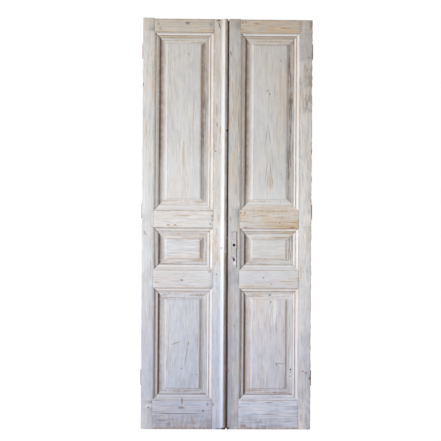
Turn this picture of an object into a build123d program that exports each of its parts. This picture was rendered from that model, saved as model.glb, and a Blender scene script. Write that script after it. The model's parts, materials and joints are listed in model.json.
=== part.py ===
from build123d import *
import os

# A pair of old framed and panelled door leaves on lift-off hinges.
# x runs to the right seen from the front, y from the front face to the back, z up.
# The origin is at the foot of the leaves, midway across the pair and through its depth.
# All sizes are in millimetres.

# Pair and leaves
PAIR_WIDTH = 1018.0
LEAF_HEIGHT = 2461.0
LEAF_THICK = 42.0
HINGE_HORN = 5.0  # left hinge stile above its top rail
MEETING_HORN = 3.0  # right meeting stile above its top rail

# Flat widths of the stiles, flat heights of the rails, heights of the openings
LEFT_HINGE_STILE = 68.0
LEFT_MEETING_STILE = 76.0
RIGHT_MEETING_STILE = 67.0
RIGHT_HINGE_STILE = 75.0
TOP_RAIL = 79.0
FRIEZE_RAIL = 102.0
LOCK_RAIL = 105.0
BOTTOM_RAIL = 174.0
MIDDLE_OPENING = 255.0
BOTTOM_OPENING = 675.0

# Moulding worked on the inner edges of stiles and rails, both faces alike
OVOLO_RUN = 10.0
OVOLO_DROP = 8.0
FILLET_RUN = 12.0
FILLET_DROP = 1.5
BEAD_RUN = 11.0
BEAD_DROP = 5.0
MOULD_RUN = OVOLO_RUN + FILLET_RUN + BEAD_RUN

# Raised and fielded panels, loose in grooves
PANEL_TONGUE = 7.0
TONGUE_REACH = 8.0
GROOVE_DEPTH = 10.0
SIDE_BEVEL = 40.0
END_BEVEL = 33.0
BEVEL_RISE = 8.0
SIDE_ARRIS = 8.0
END_ARRIS = 7.0
ARRIS_RISE = 5.5

# Mortise and tenon joints: wedged through the hinge stiles, stopped in the meeting stiles
TENON_THICK = 14.0
TENON_SHARE = 0.62
TOP_TENON_DROP = 8.0
TENON_STOP = 20.0
WEDGE_THICK = 5.0
WEDGE_LENGTH = 45.0
JOINT_FIT = 0.2
OVERRUN = 5.0

# Meeting edge: cover strip and rear strip on the left leaf, bevelled edge on the right leaf
STRIP_WIDTH = 38.0
STRIP_PROUD = 14.0
STRIP_OVERHANG = 6.0
STRIP_EDGE = 3.0
STRIP_FOOT = 9.0
NOSE_INSET = 13.5
NOSE_WIDTH = 5.5
COVE_LEDGE = 3.0
FLANK_SHARES = (0.42, 0.30)  # point on the round flank, from the outer edge and from the nose
COVE_SHARES = (0.36, 0.62)  # point in the cove, from the nose across and down
MEETING_GAP = 8.0
EDGE_BEVEL = 3.0
REAR_STRIP_THICK = 7.0
REAR_STRIP_GAP = 0.8

# Lift-off hinges at the back corner of each hinge stile
TOP_HINGE_DROP = 187.0  # middle of the top hinge below the head of the leaf
MIDDLE_HINGE_Z = 1308.0
BOTTOM_HINGE_Z = 306.0
HINGE_LENGTH = 90.0
PLATE_THICK = 2.5
PLATE_WIDTH = 30.0
PLATE_GAP = 2.0
KNUCKLE_RADIUS = 6.0
PIN_SETBACK = 7.0
PIN_RADIUS = 3.0
PIN_PLAY = 0.05
PIN_END_GAP = 4.0
KNUCKLE_PLAY = 0.3
HINGE_HOLE_RADIUS = 2.5
HINGE_HOLES_ACROSS = 14.0
HINGE_HOLES_UP = 60.0
DOOR_HOLES_UP = 48.0  # closer together than the jamb-side holes, so that no screws meet
HINGE_HOLE_EDGE = 8.0

# Wood screws
SCREW_RADIUS = 2.0
SCREW_HEAD_RADIUS = 3.8
SCREW_HEAD = 1.6  # depth of the countersunk head
SCREW_LENGTH = 18.0
SLOT_WIDTH = 0.9
SLOT_DEPTH = 0.7

# Mortise lock in the right meeting stile
SPINDLE_Z = 1106.0
KEY_DROP = 81.0  # keyhole below the spindle
LATCH_RISE = 30.0
LOCK_BACKSET = 37.5
FACEPLATE_THICK = 2.5
FACEPLATE_WIDTH = 20.0
FACEPLATE_EAR = 18.0
CASE_DEPTH = 66.0
CASE_THICK = 16.0
CASE_WALL = 1.6
CASE_BELOW_KEY = 36.0
CASE_ABOVE_LATCH = 26.0
SLIDE_PLAY = 0.3

# Latch, follower and dead bolt
LATCH_THROW = 10.0
LATCH_THICK = 12.0
LATCH_HEIGHT = 20.0
LATCH_HEAD = 30.0
LATCH_BEVEL = 8.0
TAIL_HEIGHT = 10.0
TAIL_THICK = 6.0
TAIL_SPARE = 1.4
LUG_WIDTH = 6.0
LUG_DROP = 13.0
HUB_RADIUS = 9.0
COLLAR_RADIUS = 11.0
SPINDLE_SQUARE = 8.2
CAM_LENGTH = 19.5
CAM_WIDTH = 7.0
CAM_PLAY = 0.5
BOLT_RISE = 26.0
BOLT_HEIGHT = 22.0
BOLT_THICK = 10.0
BOLT_HEAD = 38.0
BOLT_TAIL = 23.0
BOLT_TAIL_HEIGHT = 12.0
TALON_WIDTH = 8.0
TALON_DEPTH = 5.0
SPRING_THICK = 1.2
SPRING_WIDTH = 6.0
SPRING_LEAN = 5.0
SPRING_RISE = 18.0
SPRING_FLAT = 9.0

# Lock plates on both faces; only the front one has a round spindle hole and a keyhole
ESCUTCHEON_WIDTH = 31.0
ESCUTCHEON_ABOVE = 22.5  # plate above the lock case
ESCUTCHEON_BELOW = 19.5  # plate below the lock case
ESCUTCHEON_THICK = 2.0
ESCUTCHEON_CORNER = 2.5
ESCUTCHEON_BEVEL = 0.8
ESCUTCHEON_SCREW_INSET = 9.0
SPINDLE_HOLE_RADIUS = 8.0
STILE_HOLE_RADIUS = 10.0
KEY_TOP_RADIUS = 4.5
KEY_FOOT_RADIUS = 3.8
KEY_FOOT_DROP = 12.0
KEY_SLOT = 4.0
KEY_ROOM = 1.5

# Strike plate on the left meeting edge
STRIKE_THICK = 2.0
STRIKE_WIDTH = 20.0
STRIKE_EAR = 28.0
STRIKE_PLAY = 1.5
POCKET_DEPTH = 12.0
LATCH_BREAK = 50.0  # gap in the rear strip where the latch swings through

# Edge bolts of the left leaf
EDGE_PLATE_WIDTH = 18.0
EDGE_PLATE_THICK = 2.0
TOP_THUMB_Z = 1794.0
BOTTOM_THUMB_Z = 345.0
THUMB_MARGIN = 45.0
ROD_SIZE = 8.0
ROD_SETBACK = 1.0
ROD_PLAY = 0.3
ROD_TAIL = 24.0
THUMB_HEIGHT = 12.0
THUMB_WIDTH = 7.0
THUMB_PROUD = 3.0
BOLT_TRAVEL = 20.0
FINGER_RADIUS = 7.0

# Planes and lines worked out from the sizes above
Y_FACE = -(LEAF_THICK + PIN_SETBACK + KNUCKLE_RADIUS - STRIP_PROUD) / 2
Y_BACK = Y_FACE + LEAF_THICK
Y_MID = Y_FACE + LEAF_THICK / 2
X_OUTER = PAIR_WIDTH / 2
X_PIN = X_OUTER + PLATE_GAP / 2
Y_PIN = Y_BACK + PIN_SETBACK
HINGE_HEIGHTS = {
    "top": LEAF_HEIGHT - TOP_HINGE_DROP,
    "middle": MIDDLE_HINGE_Z,
    "bottom": BOTTOM_HINGE_Z,
}
KEY_Z = SPINDLE_Z - KEY_DROP
LATCH_Z = SPINDLE_Z + LATCH_RISE
BOLT_Z = KEY_Z + BOLT_RISE
X_LOCK_FACE = MEETING_GAP - EDGE_BEVEL / 2
X_CASE = X_LOCK_FACE + FACEPLATE_THICK
X_SPINDLE = X_LOCK_FACE + LOCK_BACKSET
CASE_FOOT = KEY_Z - CASE_BELOW_KEY
CASE_HEAD = LATCH_Z + CASE_ABOVE_LATCH
ESCUTCHEON_HEIGHT = CASE_HEAD - CASE_FOOT + ESCUTCHEON_ABOVE + ESCUTCHEON_BELOW
ESCUTCHEON_Z = CASE_FOOT - ESCUTCHEON_BELOW + ESCUTCHEON_HEIGHT / 2

LOCK_RAIL_FOOT = BOTTOM_RAIL + BOTTOM_OPENING
FRIEZE_RAIL_FOOT = LOCK_RAIL_FOOT + LOCK_RAIL + MIDDLE_OPENING
RAILS = {
    "top_rail": (LEAF_HEIGHT - TOP_RAIL, LEAF_HEIGHT),
    "frieze_rail": (FRIEZE_RAIL_FOOT, FRIEZE_RAIL_FOOT + FRIEZE_RAIL),
    "lock_rail": (LOCK_RAIL_FOOT, LOCK_RAIL_FOOT + LOCK_RAIL),
    "bottom_rail": (0, BOTTOM_RAIL),
}
OPENINGS = {
    "top_panel": (RAILS["frieze_rail"][1], RAILS["top_rail"][0]),
    "middle_panel": (RAILS["lock_rail"][1], RAILS["frieze_rail"][0]),
    "bottom_panel": (RAILS["bottom_rail"][1], RAILS["lock_rail"][0]),
}

# Lines of each leaf: outer edge of its hinge stile, the two sides of its panels, its meeting edge
LEAF_LINES = {
    "left": (
        -X_OUTER,
        -X_OUTER + LEFT_HINGE_STILE,
        -STRIP_OVERHANG - LEFT_MEETING_STILE,
        -STRIP_OVERHANG,
    ),
    "right": (
        X_OUTER,
        X_OUTER - RIGHT_HINGE_STILE,
        MEETING_GAP + RIGHT_MEETING_STILE,
        MEETING_GAP,
    ),
}


def block(x0, x1, y0, y1, z0, z1):
    """A box between two corners, given in any order."""
    middle = Pos((x0 + x1) / 2, (y0 + y1) / 2, (z0 + z1) / 2)
    return middle * Box(abs(x1 - x0), abs(y1 - y0), abs(z1 - z0))


def upright_slab(points, y0, y1):
    """An outline drawn in x and z, filled and as thick as the span from y0 to y1."""
    face = make_face(Polyline(*points, close=True))
    return Pos(0, y1, 0) * Rot(90, 0, 0) * extrude(face, amount=y1 - y0)


def rod_along_y(x, z, radius, y0, y1):
    """A round bar from y0 to y1."""
    return Pos(x, (y0 + y1) / 2, z) * Rot(90, 0, 0) * Cylinder(radius, y1 - y0)


def rod_along_z(x, y, radius, z0, z1):
    """A round bar from z0 to z1."""
    return Pos(x, y, (z0 + z1) / 2) * Cylinder(radius, z1 - z0)


def mirrored(shape):
    """The same piece on the other side of the pair."""
    return mirror(shape, about=Plane.YZ)


def bulge(start, run, drop):
    """A convex curve that leaves its start level and ends steep."""
    u, v = start
    return TangentArc(start, (u + run, v + drop), tangent=(1, 0))


def moulding_profile():
    """Section of the worked moulding: x into the opening, y through the leaf, with its groove."""
    shelf = OVOLO_DROP + FILLET_DROP
    sight = shelf + BEAD_DROP
    step = OVOLO_RUN + FILLET_RUN
    half_groove = PANEL_TONGUE / 2 + JOINT_FIT
    middle = LEAF_THICK / 2
    half = [
        bulge((0, 0), OVOLO_RUN, OVOLO_DROP),
        Line((OVOLO_RUN, OVOLO_DROP), (step, shelf)),
        bulge((step, shelf), BEAD_RUN, BEAD_DROP),
        Polyline(
            (MOULD_RUN, sight),
            (MOULD_RUN, middle - half_groove),
            (MOULD_RUN - GROOVE_DEPTH, middle - half_groove),
            (MOULD_RUN - GROOVE_DEPTH, middle),
        ),
    ]
    centre = Plane(origin=(0, middle, 0), x_dir=(1, 0, 0), z_dir=(0, 1, 0))
    other_half = [mirror(edge, about=centre) for edge in half]
    root = Line((0, 0), (0, LEAF_THICK))
    return make_face([*half, *other_half, root])


MOULDING = moulding_profile()


def mitred_length(run):
    """A length of moulding standing on end, mitred at both ends."""
    reach = MOULD_RUN + OVERRUN
    bar = extrude(MOULDING, amount=run)
    mitre = upright_slab(
        [(-OVERRUN, -OVERRUN), (-OVERRUN, run + OVERRUN), (reach, run - reach), (reach, reach)],
        -OVERRUN,
        LEAF_THICK + OVERRUN,
    )
    return bar & mitre


def upright_moulding(x, z0, z1, inward):
    """Moulding on a stile's inner edge, along one opening."""
    bar = mitred_length(z1 - z0)
    bar = bar if inward > 0 else mirrored(bar)
    return Pos(x, Y_FACE, z0) * bar


def level_moulding(x0, x1, z, upward):
    """Moulding on a rail's edge, along one opening."""
    bar = Rot(0, 90, 0) * mitred_length(x1 - x0)
    bar = mirror(bar, about=Plane.XY) if upward else bar
    return Pos(x0, Y_FACE, z) * bar


def tenon_span(rail):
    """Foot and head of a rail's tenon."""
    z0, z1 = RAILS[rail]
    half = (z1 - z0) * TENON_SHARE / 2
    middle = (z0 + z1) / 2 - (TOP_TENON_DROP if rail == "top_rail" else 0)
    return middle - half, middle + half


def wedged_mortise(x_flat, x_edge, rail):
    """Cut through a hinge stile that widens outwards for its wedges."""
    foot, head = (tenon_span(rail)[0] - JOINT_FIT, tenon_span(rail)[1] + JOINT_FIT)
    outward = 1 if x_edge > x_flat else -1
    flare = x_edge - outward * WEDGE_LENGTH
    points = [
        (x_flat - outward * OVERRUN, foot),
        (flare, foot),
        (x_edge, foot - WEDGE_THICK),
        (x_edge + outward * OVERRUN, foot - WEDGE_THICK),
        (x_edge + outward * OVERRUN, head + WEDGE_THICK),
        (x_edge, head + WEDGE_THICK),
        (flare, head),
        (x_flat - outward * OVERRUN, head),
    ]
    return upright_slab(points, Y_MID - TENON_THICK / 2, Y_MID + TENON_THICK / 2)


def wedges(x_flat, x_edge):
    """Pairs of wedges that lock a hinge stile's tenons."""
    outward = 1 if x_edge > x_flat else -1
    half = TENON_THICK / 2 - JOINT_FIT
    pieces = []
    for rail in RAILS:
        foot, head = tenon_span(rail)
        for edge, away in ((foot, -WEDGE_THICK), (head, WEDGE_THICK)):
            points = [(x_edge, edge), (x_edge, edge + away), (x_edge - outward * WEDGE_LENGTH, edge)]
            pieces.append(upright_slab(points, Y_MID - half, Y_MID + half))
    return pieces


def stopped_mortise(x_flat, x_edge, rail):
    """Blind cut in a meeting stile."""
    outward = 1 if x_edge > x_flat else -1
    foot, head = tenon_span(rail)
    half = TENON_THICK / 2
    stop = x_edge - outward * (TENON_STOP - JOINT_FIT)
    start = x_flat - outward * OVERRUN
    return block(start, stop, Y_MID - half, Y_MID + half, foot - JOINT_FIT, head + JOINT_FIT)


def stile(x_edge, x_flat, top):
    """An upright: flat face from its outer edge to x_flat, then a moulding along each opening."""
    inward = 1 if x_flat > x_edge else -1
    body = block(x_edge, x_flat, Y_FACE, Y_BACK, 0, top)
    for z0, z1 in OPENINGS.values():
        body += upright_moulding(x_flat, z0, z1, inward)
    return body


def rail(name, lines):
    """A cross piece between the stiles, with its mouldings and two tenons."""
    x_edge, x_hinge, x_meeting, x_end = lines
    outward = 1 if x_edge > x_hinge else -1
    z0, z1 = RAILS[name]
    left, right = min(x_hinge, x_meeting), max(x_hinge, x_meeting)
    body = block(left, right, Y_FACE, Y_BACK, z0, z1)
    if name != "bottom_rail":
        body += level_moulding(left, right, z0, False)
    if name != "top_rail":
        body += level_moulding(left, right, z1, True)
    foot, head = tenon_span(name)
    half = TENON_THICK / 2 - JOINT_FIT
    stop = x_end + outward * TENON_STOP
    for start, end in ((x_hinge, x_edge), (x_meeting, stop)):
        body += block(start, end, Y_MID - half, Y_MID + half, foot, head)
    return body


def panel_section(width, bevel, arris):
    """Section of a raised panel from one sight line to the other, alike on both faces."""
    half = PANEL_TONGUE / 2
    y_bevel = half + BEVEL_RISE
    side = [(-TONGUE_REACH, half), (0, half), (bevel, y_bevel), (bevel + arris, y_bevel + ARRIS_RISE)]
    front = side + [(width - u, v) for u, v in reversed(side)]
    back = [(u, -v) for u, v in reversed(front)]
    return make_face(Polyline(*front, *back, close=True))


def panel(x0, x1, z0, z1):
    """A raised panel: tongue in the grooves, wide bevels, and a small arris round the field."""
    x_sight, z_sight = x0 + MOULD_RUN, z0 + MOULD_RUN
    width, height = x1 - x0 - 2 * MOULD_RUN, z1 - z0 - 2 * MOULD_RUN
    upright = extrude(panel_section(width, SIDE_BEVEL, SIDE_ARRIS), amount=height + 2 * TONGUE_REACH)
    level = extrude(panel_section(height, END_BEVEL, END_ARRIS), amount=width + 2 * TONGUE_REACH)
    foot = Plane(origin=(x_sight, Y_MID, z_sight - TONGUE_REACH), x_dir=(1, 0, 0), z_dir=(0, 0, 1))
    side = Plane(origin=(x_sight - TONGUE_REACH, Y_MID, z_sight), x_dir=(0, 0, 1), z_dir=(1, 0, 0))
    return (foot * upright) & (side * level)


def cover_strip():
    """Moulded strip on the left leaf: round outer flank, blunt nose, and a cove to the face."""
    nose_right, nose_left = -NOSE_INSET, -NOSE_INSET - NOSE_WIDTH
    cove_foot = -STRIP_WIDTH + COVE_LEDGE
    y_nose, y_edge = Y_FACE - STRIP_PROUD, Y_FACE - STRIP_EDGE
    rise = STRIP_PROUD - STRIP_EDGE
    flank = (-NOSE_INSET * FLANK_SHARES[0], y_nose + rise * FLANK_SHARES[1])
    cove = (nose_left + (cove_foot - nose_left) * COVE_SHARES[0], y_nose + rise * COVE_SHARES[1])
    outline = [
        Line((0, Y_FACE), (0, y_edge)),
        ThreePointArc((0, y_edge), flank, (nose_right, y_nose)),
        Line((nose_right, y_nose), (nose_left, y_nose)),
        ThreePointArc((nose_left, y_nose), cove, (cove_foot, y_edge)),
        Polyline((cove_foot, y_edge), (-STRIP_WIDTH, y_edge), (-STRIP_WIDTH, Y_FACE), (0, Y_FACE)),
    ]
    strip = extrude(make_face(outline), amount=LEAF_HEIGHT - STRIP_FOOT)
    strip = Pos(0, 0, STRIP_FOOT) * strip
    y_front = y_nose - OVERRUN
    return strip - rod_along_y(0, TOP_THUMB_Z, FINGER_RADIUS, y_front, Y_FACE + OVERRUN)


def rear_strip():
    """Two thin lengths on the left edge that close the gap at the back, clear of the latch."""
    x0, x1 = -STRIP_OVERHANG, MEETING_GAP - EDGE_BEVEL - REAR_STRIP_GAP
    y0 = Y_BACK - REAR_STRIP_THICK
    spans = ((0, LATCH_Z - LATCH_BREAK / 2), (LATCH_Z + LATCH_BREAK / 2, LEAF_HEIGHT))
    return [block(x0, x1, y0, Y_BACK, foot, head) for foot, head in spans]


def hinge_gain(z):
    """Shallow seat for a door-side hinge plate in the left hinge stile's edge."""
    half = HINGE_LENGTH / 2
    depth = PLATE_THICK
    y0 = Y_BACK - PLATE_WIDTH
    return block(-X_OUTER - OVERRUN, -X_OUTER + depth, y0, Y_BACK + OVERRUN, z - half, z + half)


def hinge_gains():
    """Seats of one leaf's three hinge plates."""
    return [hinge_gain(z) for z in HINGE_HEIGHTS.values()]


def hinge_hole_places(z, spread):
    """Depths and heights of a hinge plate's four screw holes."""
    outer = Y_BACK - HINGE_HOLE_EDGE
    for y in (outer, outer - HINGE_HOLES_ACROSS):
        for rise in (-spread / 2, spread / 2):
            yield y, z + rise


def hinge_half(z, x_face, x_gap, z0, z1):
    """A hinge plate with screw holes countersunk from the gap, and one knuckle from z0 to z1."""
    half = HINGE_LENGTH / 2
    x_back = x_face + PLATE_THICK
    plate = block(x_face, x_back, Y_BACK - PLATE_WIDTH, Y_BACK, z - half, z + half)
    plate += block(x_face, x_back, Y_BACK, Y_PIN, z0, z1)
    plate += rod_along_z(-X_PIN, Y_PIN, KNUCKLE_RADIUS, z0, z1)
    plate -= rod_along_z(-X_PIN, Y_PIN, PIN_RADIUS + PIN_PLAY, z0 - OVERRUN, z1 + OVERRUN)
    on_door = x_gap == x_face
    facing = FACING_LEFT if on_door else FACING_RIGHT
    spread = DOOR_HOLES_UP if on_door else HINGE_HOLES_UP
    drill = rod_along_z(0, 0, HINGE_HOLE_RADIUS, -PLATE_THICK - OVERRUN, OVERRUN)
    places = [Pos(x_gap, y, hole_z) * facing for y, hole_z in hinge_hole_places(z, spread)]
    return plate - at_each(places, drill) - at_each(places, SCREW_HOLE)


def door_hinge_plate(z):
    """Door-side half of a left hinge: the upper knuckle, which lifts off."""
    return hinge_half(z, -X_OUTER, -X_OUTER, z + KNUCKLE_PLAY / 2, z + HINGE_LENGTH / 2)


def jamb_hinge_plate(z):
    """Jamb-side half of a left hinge: the lower knuckle, which holds the pin."""
    x_gap = -X_OUTER - PLATE_GAP
    return hinge_half(z, x_gap - PLATE_THICK, x_gap, z - HINGE_LENGTH / 2, z - KNUCKLE_PLAY / 2)


def hinge_pin(z):
    """Pin that stands up out of a left hinge's lower knuckle."""
    foot, head = z - HINGE_LENGTH / 2, z + HINGE_LENGTH / 2 - PIN_END_GAP
    return rod_along_z(-X_PIN, Y_PIN, PIN_RADIUS, foot, head)


def screw():
    """A countersunk wood screw along +z, slotted, with the top of its head at the origin."""
    shank = rod_along_z(0, 0, SCREW_RADIUS, -SCREW_LENGTH, 0)
    head = Pos(0, 0, -SCREW_HEAD / 2) * Cone(SCREW_RADIUS, SCREW_HEAD_RADIUS, SCREW_HEAD)
    reach = SCREW_HEAD_RADIUS + OVERRUN
    slot = block(-reach, reach, -SLOT_WIDTH / 2, SLOT_WIDTH / 2, -SLOT_DEPTH, OVERRUN)
    return shank + head - slot


def screw_hole():
    """Cutter for a screw's hole and countersink in a plate, with the plate's face at the origin."""
    narrow = SCREW_RADIUS + JOINT_FIT
    wide = narrow + 2 * (SCREW_HEAD_RADIUS - SCREW_RADIUS)
    return rod_along_z(0, 0, narrow, -OVERRUN, 0) + Cone(narrow, wide, 2 * SCREW_HEAD)


SCREW = screw()
SCREW_HOLE = screw_hole()
FACING_LEFT = Rot(0, -90, 0)
FACING_RIGHT = Rot(0, 90, 0)
FACING_FRONT = Rot(90, 0, 0)


def at_each(places, piece):
    """A copy of one piece at each place."""
    return [place * piece for place in places]


def hinge_screws():
    """Screws of the left leaf's three hinge plates."""
    places = [spot for z in HINGE_HEIGHTS.values() for spot in hinge_hole_places(z, DOOR_HOLES_UP)]
    return [Pos(-X_OUTER, y, z) * FACING_LEFT * SCREW for y, z in places]


def keyhole(radius_room, y0, y1):
    """Cutter for the keyhole: two round ends joined by a slot."""
    top = rod_along_y(X_SPINDLE, KEY_Z, KEY_TOP_RADIUS + radius_room, y0, y1)
    foot_z = KEY_Z - KEY_FOOT_DROP
    foot = rod_along_y(X_SPINDLE, foot_z, KEY_FOOT_RADIUS + radius_room, y0, y1)
    half = KEY_SLOT / 2 + radius_room
    return top + foot + block(X_SPINDLE - half, X_SPINDLE + half, y0, y1, foot_z, KEY_Z)


def blank_escutcheon():
    """Lock plate with softened edges and two screw holes, on the front face."""
    blank = RectangleRounded(ESCUTCHEON_WIDTH, ESCUTCHEON_HEIGHT, ESCUTCHEON_CORNER)
    plate = extrude(blank, amount=ESCUTCHEON_THICK)
    plate = chamfer(plate.faces().sort_by(Axis.Z)[-1].edges(), ESCUTCHEON_BEVEL)
    plate = Pos(X_SPINDLE, Y_FACE, ESCUTCHEON_Z) * Rot(90, 0, 0) * plate
    return plate - at_each(escutcheon_screw_places(), SCREW_HOLE)


def escutcheon():
    """Front lock plate, with a round spindle hole and a keyhole."""
    y0, y1 = Y_FACE - ESCUTCHEON_THICK - OVERRUN, Y_FACE + OVERRUN
    plate = blank_escutcheon() - rod_along_y(X_SPINDLE, SPINDLE_Z, SPINDLE_HOLE_RADIUS, y0, y1)
    return plate - keyhole(0, y0, y1)


def through_leaf(shape):
    """The same piece on the back face of the leaf."""
    return mirror(shape, about=Plane(origin=(0, Y_MID, 0), x_dir=(1, 0, 0), z_dir=(0, 1, 0)))


def escutcheon_screw_places():
    """Places of the two screws in the front lock plate, at its head and foot."""
    reach = ESCUTCHEON_HEIGHT / 2 - ESCUTCHEON_SCREW_INSET
    heights = (ESCUTCHEON_Z - reach, ESCUTCHEON_Z + reach)
    return [Pos(X_SPINDLE, Y_FACE - ESCUTCHEON_THICK, z) * FACING_FRONT for z in heights]


def escutcheon_screws():
    """Two screws in each lock plate."""
    front = at_each(escutcheon_screw_places(), SCREW)
    return front + [through_leaf(piece) for piece in front]


def lock_faceplate():
    """Plate on the right leaf's edge, with holes for the latch and the dead bolt."""
    half = FACEPLATE_WIDTH / 2
    foot, head = CASE_FOOT - FACEPLATE_EAR, CASE_HEAD + FACEPLATE_EAR
    plate = block(X_LOCK_FACE, X_CASE, Y_MID - half, Y_MID + half, foot, head)
    return plate - bolt_passages() - at_each(faceplate_screw_places(), SCREW_HOLE)


def bolt_passages():
    """Clearance for the latch and the dead bolt through faceplate and case."""
    x0, x1 = X_LOCK_FACE - OVERRUN, X_CASE + CASE_WALL + OVERRUN
    cuts = []
    for z, height, thick in (
        (LATCH_Z, LATCH_HEIGHT, LATCH_THICK),
        (BOLT_Z, BOLT_HEIGHT, BOLT_THICK),
    ):
        half_z, half_y = height / 2 + SLIDE_PLAY, thick / 2 + SLIDE_PLAY
        cuts.append(block(x0, x1, Y_MID - half_y, Y_MID + half_y, z - half_z, z + half_z))
    return cuts


def faceplate_screw_places():
    """Places of the screws in the two ears of the lock faceplate."""
    inset = FACEPLATE_EAR / 2
    heights = (CASE_FOOT - inset, CASE_HEAD + inset)
    return [Pos(X_LOCK_FACE, Y_MID, z) * FACING_LEFT for z in heights]


def hub_and_key_holes():
    """Holes through the lock case and its cover."""
    y0, y1 = Y_MID - CASE_THICK, Y_MID + CASE_THICK
    hub = rod_along_y(X_SPINDLE, SPINDLE_Z, HUB_RADIUS + SLIDE_PLAY, y0, y1)
    return [hub, keyhole(KEY_ROOM / 2, y0, y1)]


def lock_case():
    """Shallow tray that holds the lock works, open to the front."""
    y0, y1 = Y_MID - CASE_THICK / 2 + CASE_WALL, Y_MID + CASE_THICK / 2
    x1 = X_CASE + CASE_DEPTH
    tray = block(X_CASE, x1, y0, y1, CASE_FOOT, CASE_HEAD)
    inner_x = (X_CASE + CASE_WALL, x1 - CASE_WALL)
    inner_z = (CASE_FOOT + CASE_WALL, CASE_HEAD - CASE_WALL)
    tray -= block(*inner_x, y0 - OVERRUN, y1 - CASE_WALL, *inner_z)
    return tray - bolt_passages() - hub_and_key_holes()


def lock_cover():
    """Lid of the lock case."""
    y0 = Y_MID - CASE_THICK / 2
    x1 = X_CASE + CASE_DEPTH
    lid = block(X_CASE, x1, y0, y0 + CASE_WALL, CASE_FOOT, CASE_HEAD)
    return lid - hub_and_key_holes()


def latch_bolt():
    """Sprung latch: bevelled head, tail above the follower, and a lug for its cam."""
    nose = X_LOCK_FACE - LATCH_THROW
    shoulder = nose + LATCH_HEAD
    tail_end = X_CASE + CASE_DEPTH - CASE_WALL - LATCH_THROW - TAIL_SPARE
    half = LATCH_THICK / 2
    outline = [
        (nose + LATCH_BEVEL, Y_MID - half),
        (shoulder, Y_MID - half),
        (shoulder, Y_MID + half),
        (nose, Y_MID + half),
        (nose, Y_MID + half - LATCH_THICK / 4),
    ]
    head = extrude(make_face(Polyline(*outline, close=True)), amount=LATCH_HEIGHT)
    body = Pos(0, 0, LATCH_Z - LATCH_HEIGHT / 2) * head
    y0, y1 = Y_MID - TAIL_THICK / 2, Y_MID + TAIL_THICK / 2
    tail_foot = LATCH_Z - TAIL_HEIGHT / 2
    body += block(shoulder, tail_end, y0, y1, tail_foot, LATCH_Z + TAIL_HEIGHT / 2)
    lug = X_SPINDLE + CAM_WIDTH / 2 + CAM_PLAY
    return body + block(lug, lug + LUG_WIDTH, y0, y1, tail_foot - LUG_DROP, tail_foot)


def latch_spring():
    """Leaf spring from the head of the case down behind the latch's tail."""
    x = X_CASE + CASE_DEPTH - CASE_WALL - LATCH_THROW - TAIL_SPARE + SLIDE_PLAY
    head, bend = CASE_HEAD - CASE_WALL, LATCH_Z + TAIL_HEIGHT / 2
    foot = LATCH_Z - TAIL_HEIGHT / 2
    points = [
        (x + SPRING_LEAN, head),
        (x + SPRING_LEAN + SPRING_THICK, head),
        (x + SPRING_THICK, bend),
        (x + SPRING_THICK, foot),
        (x, foot),
        (x, bend),
    ]
    return upright_slab(points, Y_MID - SPRING_WIDTH / 2, Y_MID + SPRING_WIDTH / 2)


def follower():
    """Turning hub with a square spindle hole and a cam that draws the latch."""
    half = CASE_THICK / 2
    collar = half - CASE_WALL - SLIDE_PLAY
    body = rod_along_y(X_SPINDLE, SPINDLE_Z, HUB_RADIUS, Y_MID - half, Y_MID + half)
    body += rod_along_y(X_SPINDLE, SPINDLE_Z, COLLAR_RADIUS, Y_MID - collar, Y_MID + collar)
    x0, x1 = X_SPINDLE - CAM_WIDTH / 2, X_SPINDLE + CAM_WIDTH / 2
    y0, y1 = Y_MID - TAIL_THICK / 2, Y_MID + TAIL_THICK / 2
    body += block(x0, x1, y0, y1, SPINDLE_Z, SPINDLE_Z + CAM_LENGTH)
    side = SPINDLE_SQUARE / 2
    y0, y1 = Y_MID - half - OVERRUN, Y_MID + half + OVERRUN
    z0, z1 = SPINDLE_Z - side, SPINDLE_Z + side
    return body - block(X_SPINDLE - side, X_SPINDLE + side, y0, y1, z0, z1)


def dead_bolt():
    """Key-thrown bolt, drawn back: square head and a lower tail with a talon for the key."""
    shoulder = X_LOCK_FACE + BOLT_HEAD
    y0, y1 = Y_MID - BOLT_THICK / 2, Y_MID + BOLT_THICK / 2
    foot, head = BOLT_Z - BOLT_HEIGHT / 2, BOLT_Z + BOLT_HEIGHT / 2
    body = block(X_LOCK_FACE, shoulder, y0, y1, foot, head)
    tail_foot = head - BOLT_TAIL_HEIGHT
    body += block(shoulder, shoulder + BOLT_TAIL, y0, y1, tail_foot, head)
    talon = X_SPINDLE + BOLT_TAIL / 2 - TALON_WIDTH / 2
    return body - block(
        talon, talon + TALON_WIDTH, y0 - OVERRUN, y1 + OVERRUN, tail_foot - OVERRUN, tail_foot + TALON_DEPTH
    )


def bolt_spring():
    """Leaf spring from the back wall of the case that rubs on the dead bolt's top."""
    wall = X_CASE + CASE_DEPTH - CASE_WALL
    low = BOLT_Z + BOLT_HEIGHT / 2 + SLIDE_PLAY
    end = X_LOCK_FACE + BOLT_HEAD
    points = [
        (wall, low + SPRING_RISE),
        (end + SPRING_FLAT, low + SPRING_THICK),
        (end, low + SPRING_THICK),
        (end, low),
        (end + SPRING_FLAT, low),
        (wall, low + SPRING_RISE - SPRING_THICK),
    ]
    return upright_slab(points, Y_MID - SPRING_WIDTH / 2, Y_MID + SPRING_WIDTH / 2)


def strike_plate():
    """Plate on the left leaf's edge that takes the latch and the dead bolt."""
    half = STRIKE_WIDTH / 2
    foot, head = BOLT_Z - BOLT_HEIGHT / 2 - STRIKE_EAR, LATCH_Z + LATCH_HEIGHT / 2 + STRIKE_EAR
    x0, x1 = -STRIP_OVERHANG - STRIKE_THICK, -STRIP_OVERHANG
    plate = block(x0, x1, Y_MID - half, Y_MID + half, foot, head)
    return plate - strike_pockets() - at_each(strike_screw_places(), SCREW_HOLE)


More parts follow.
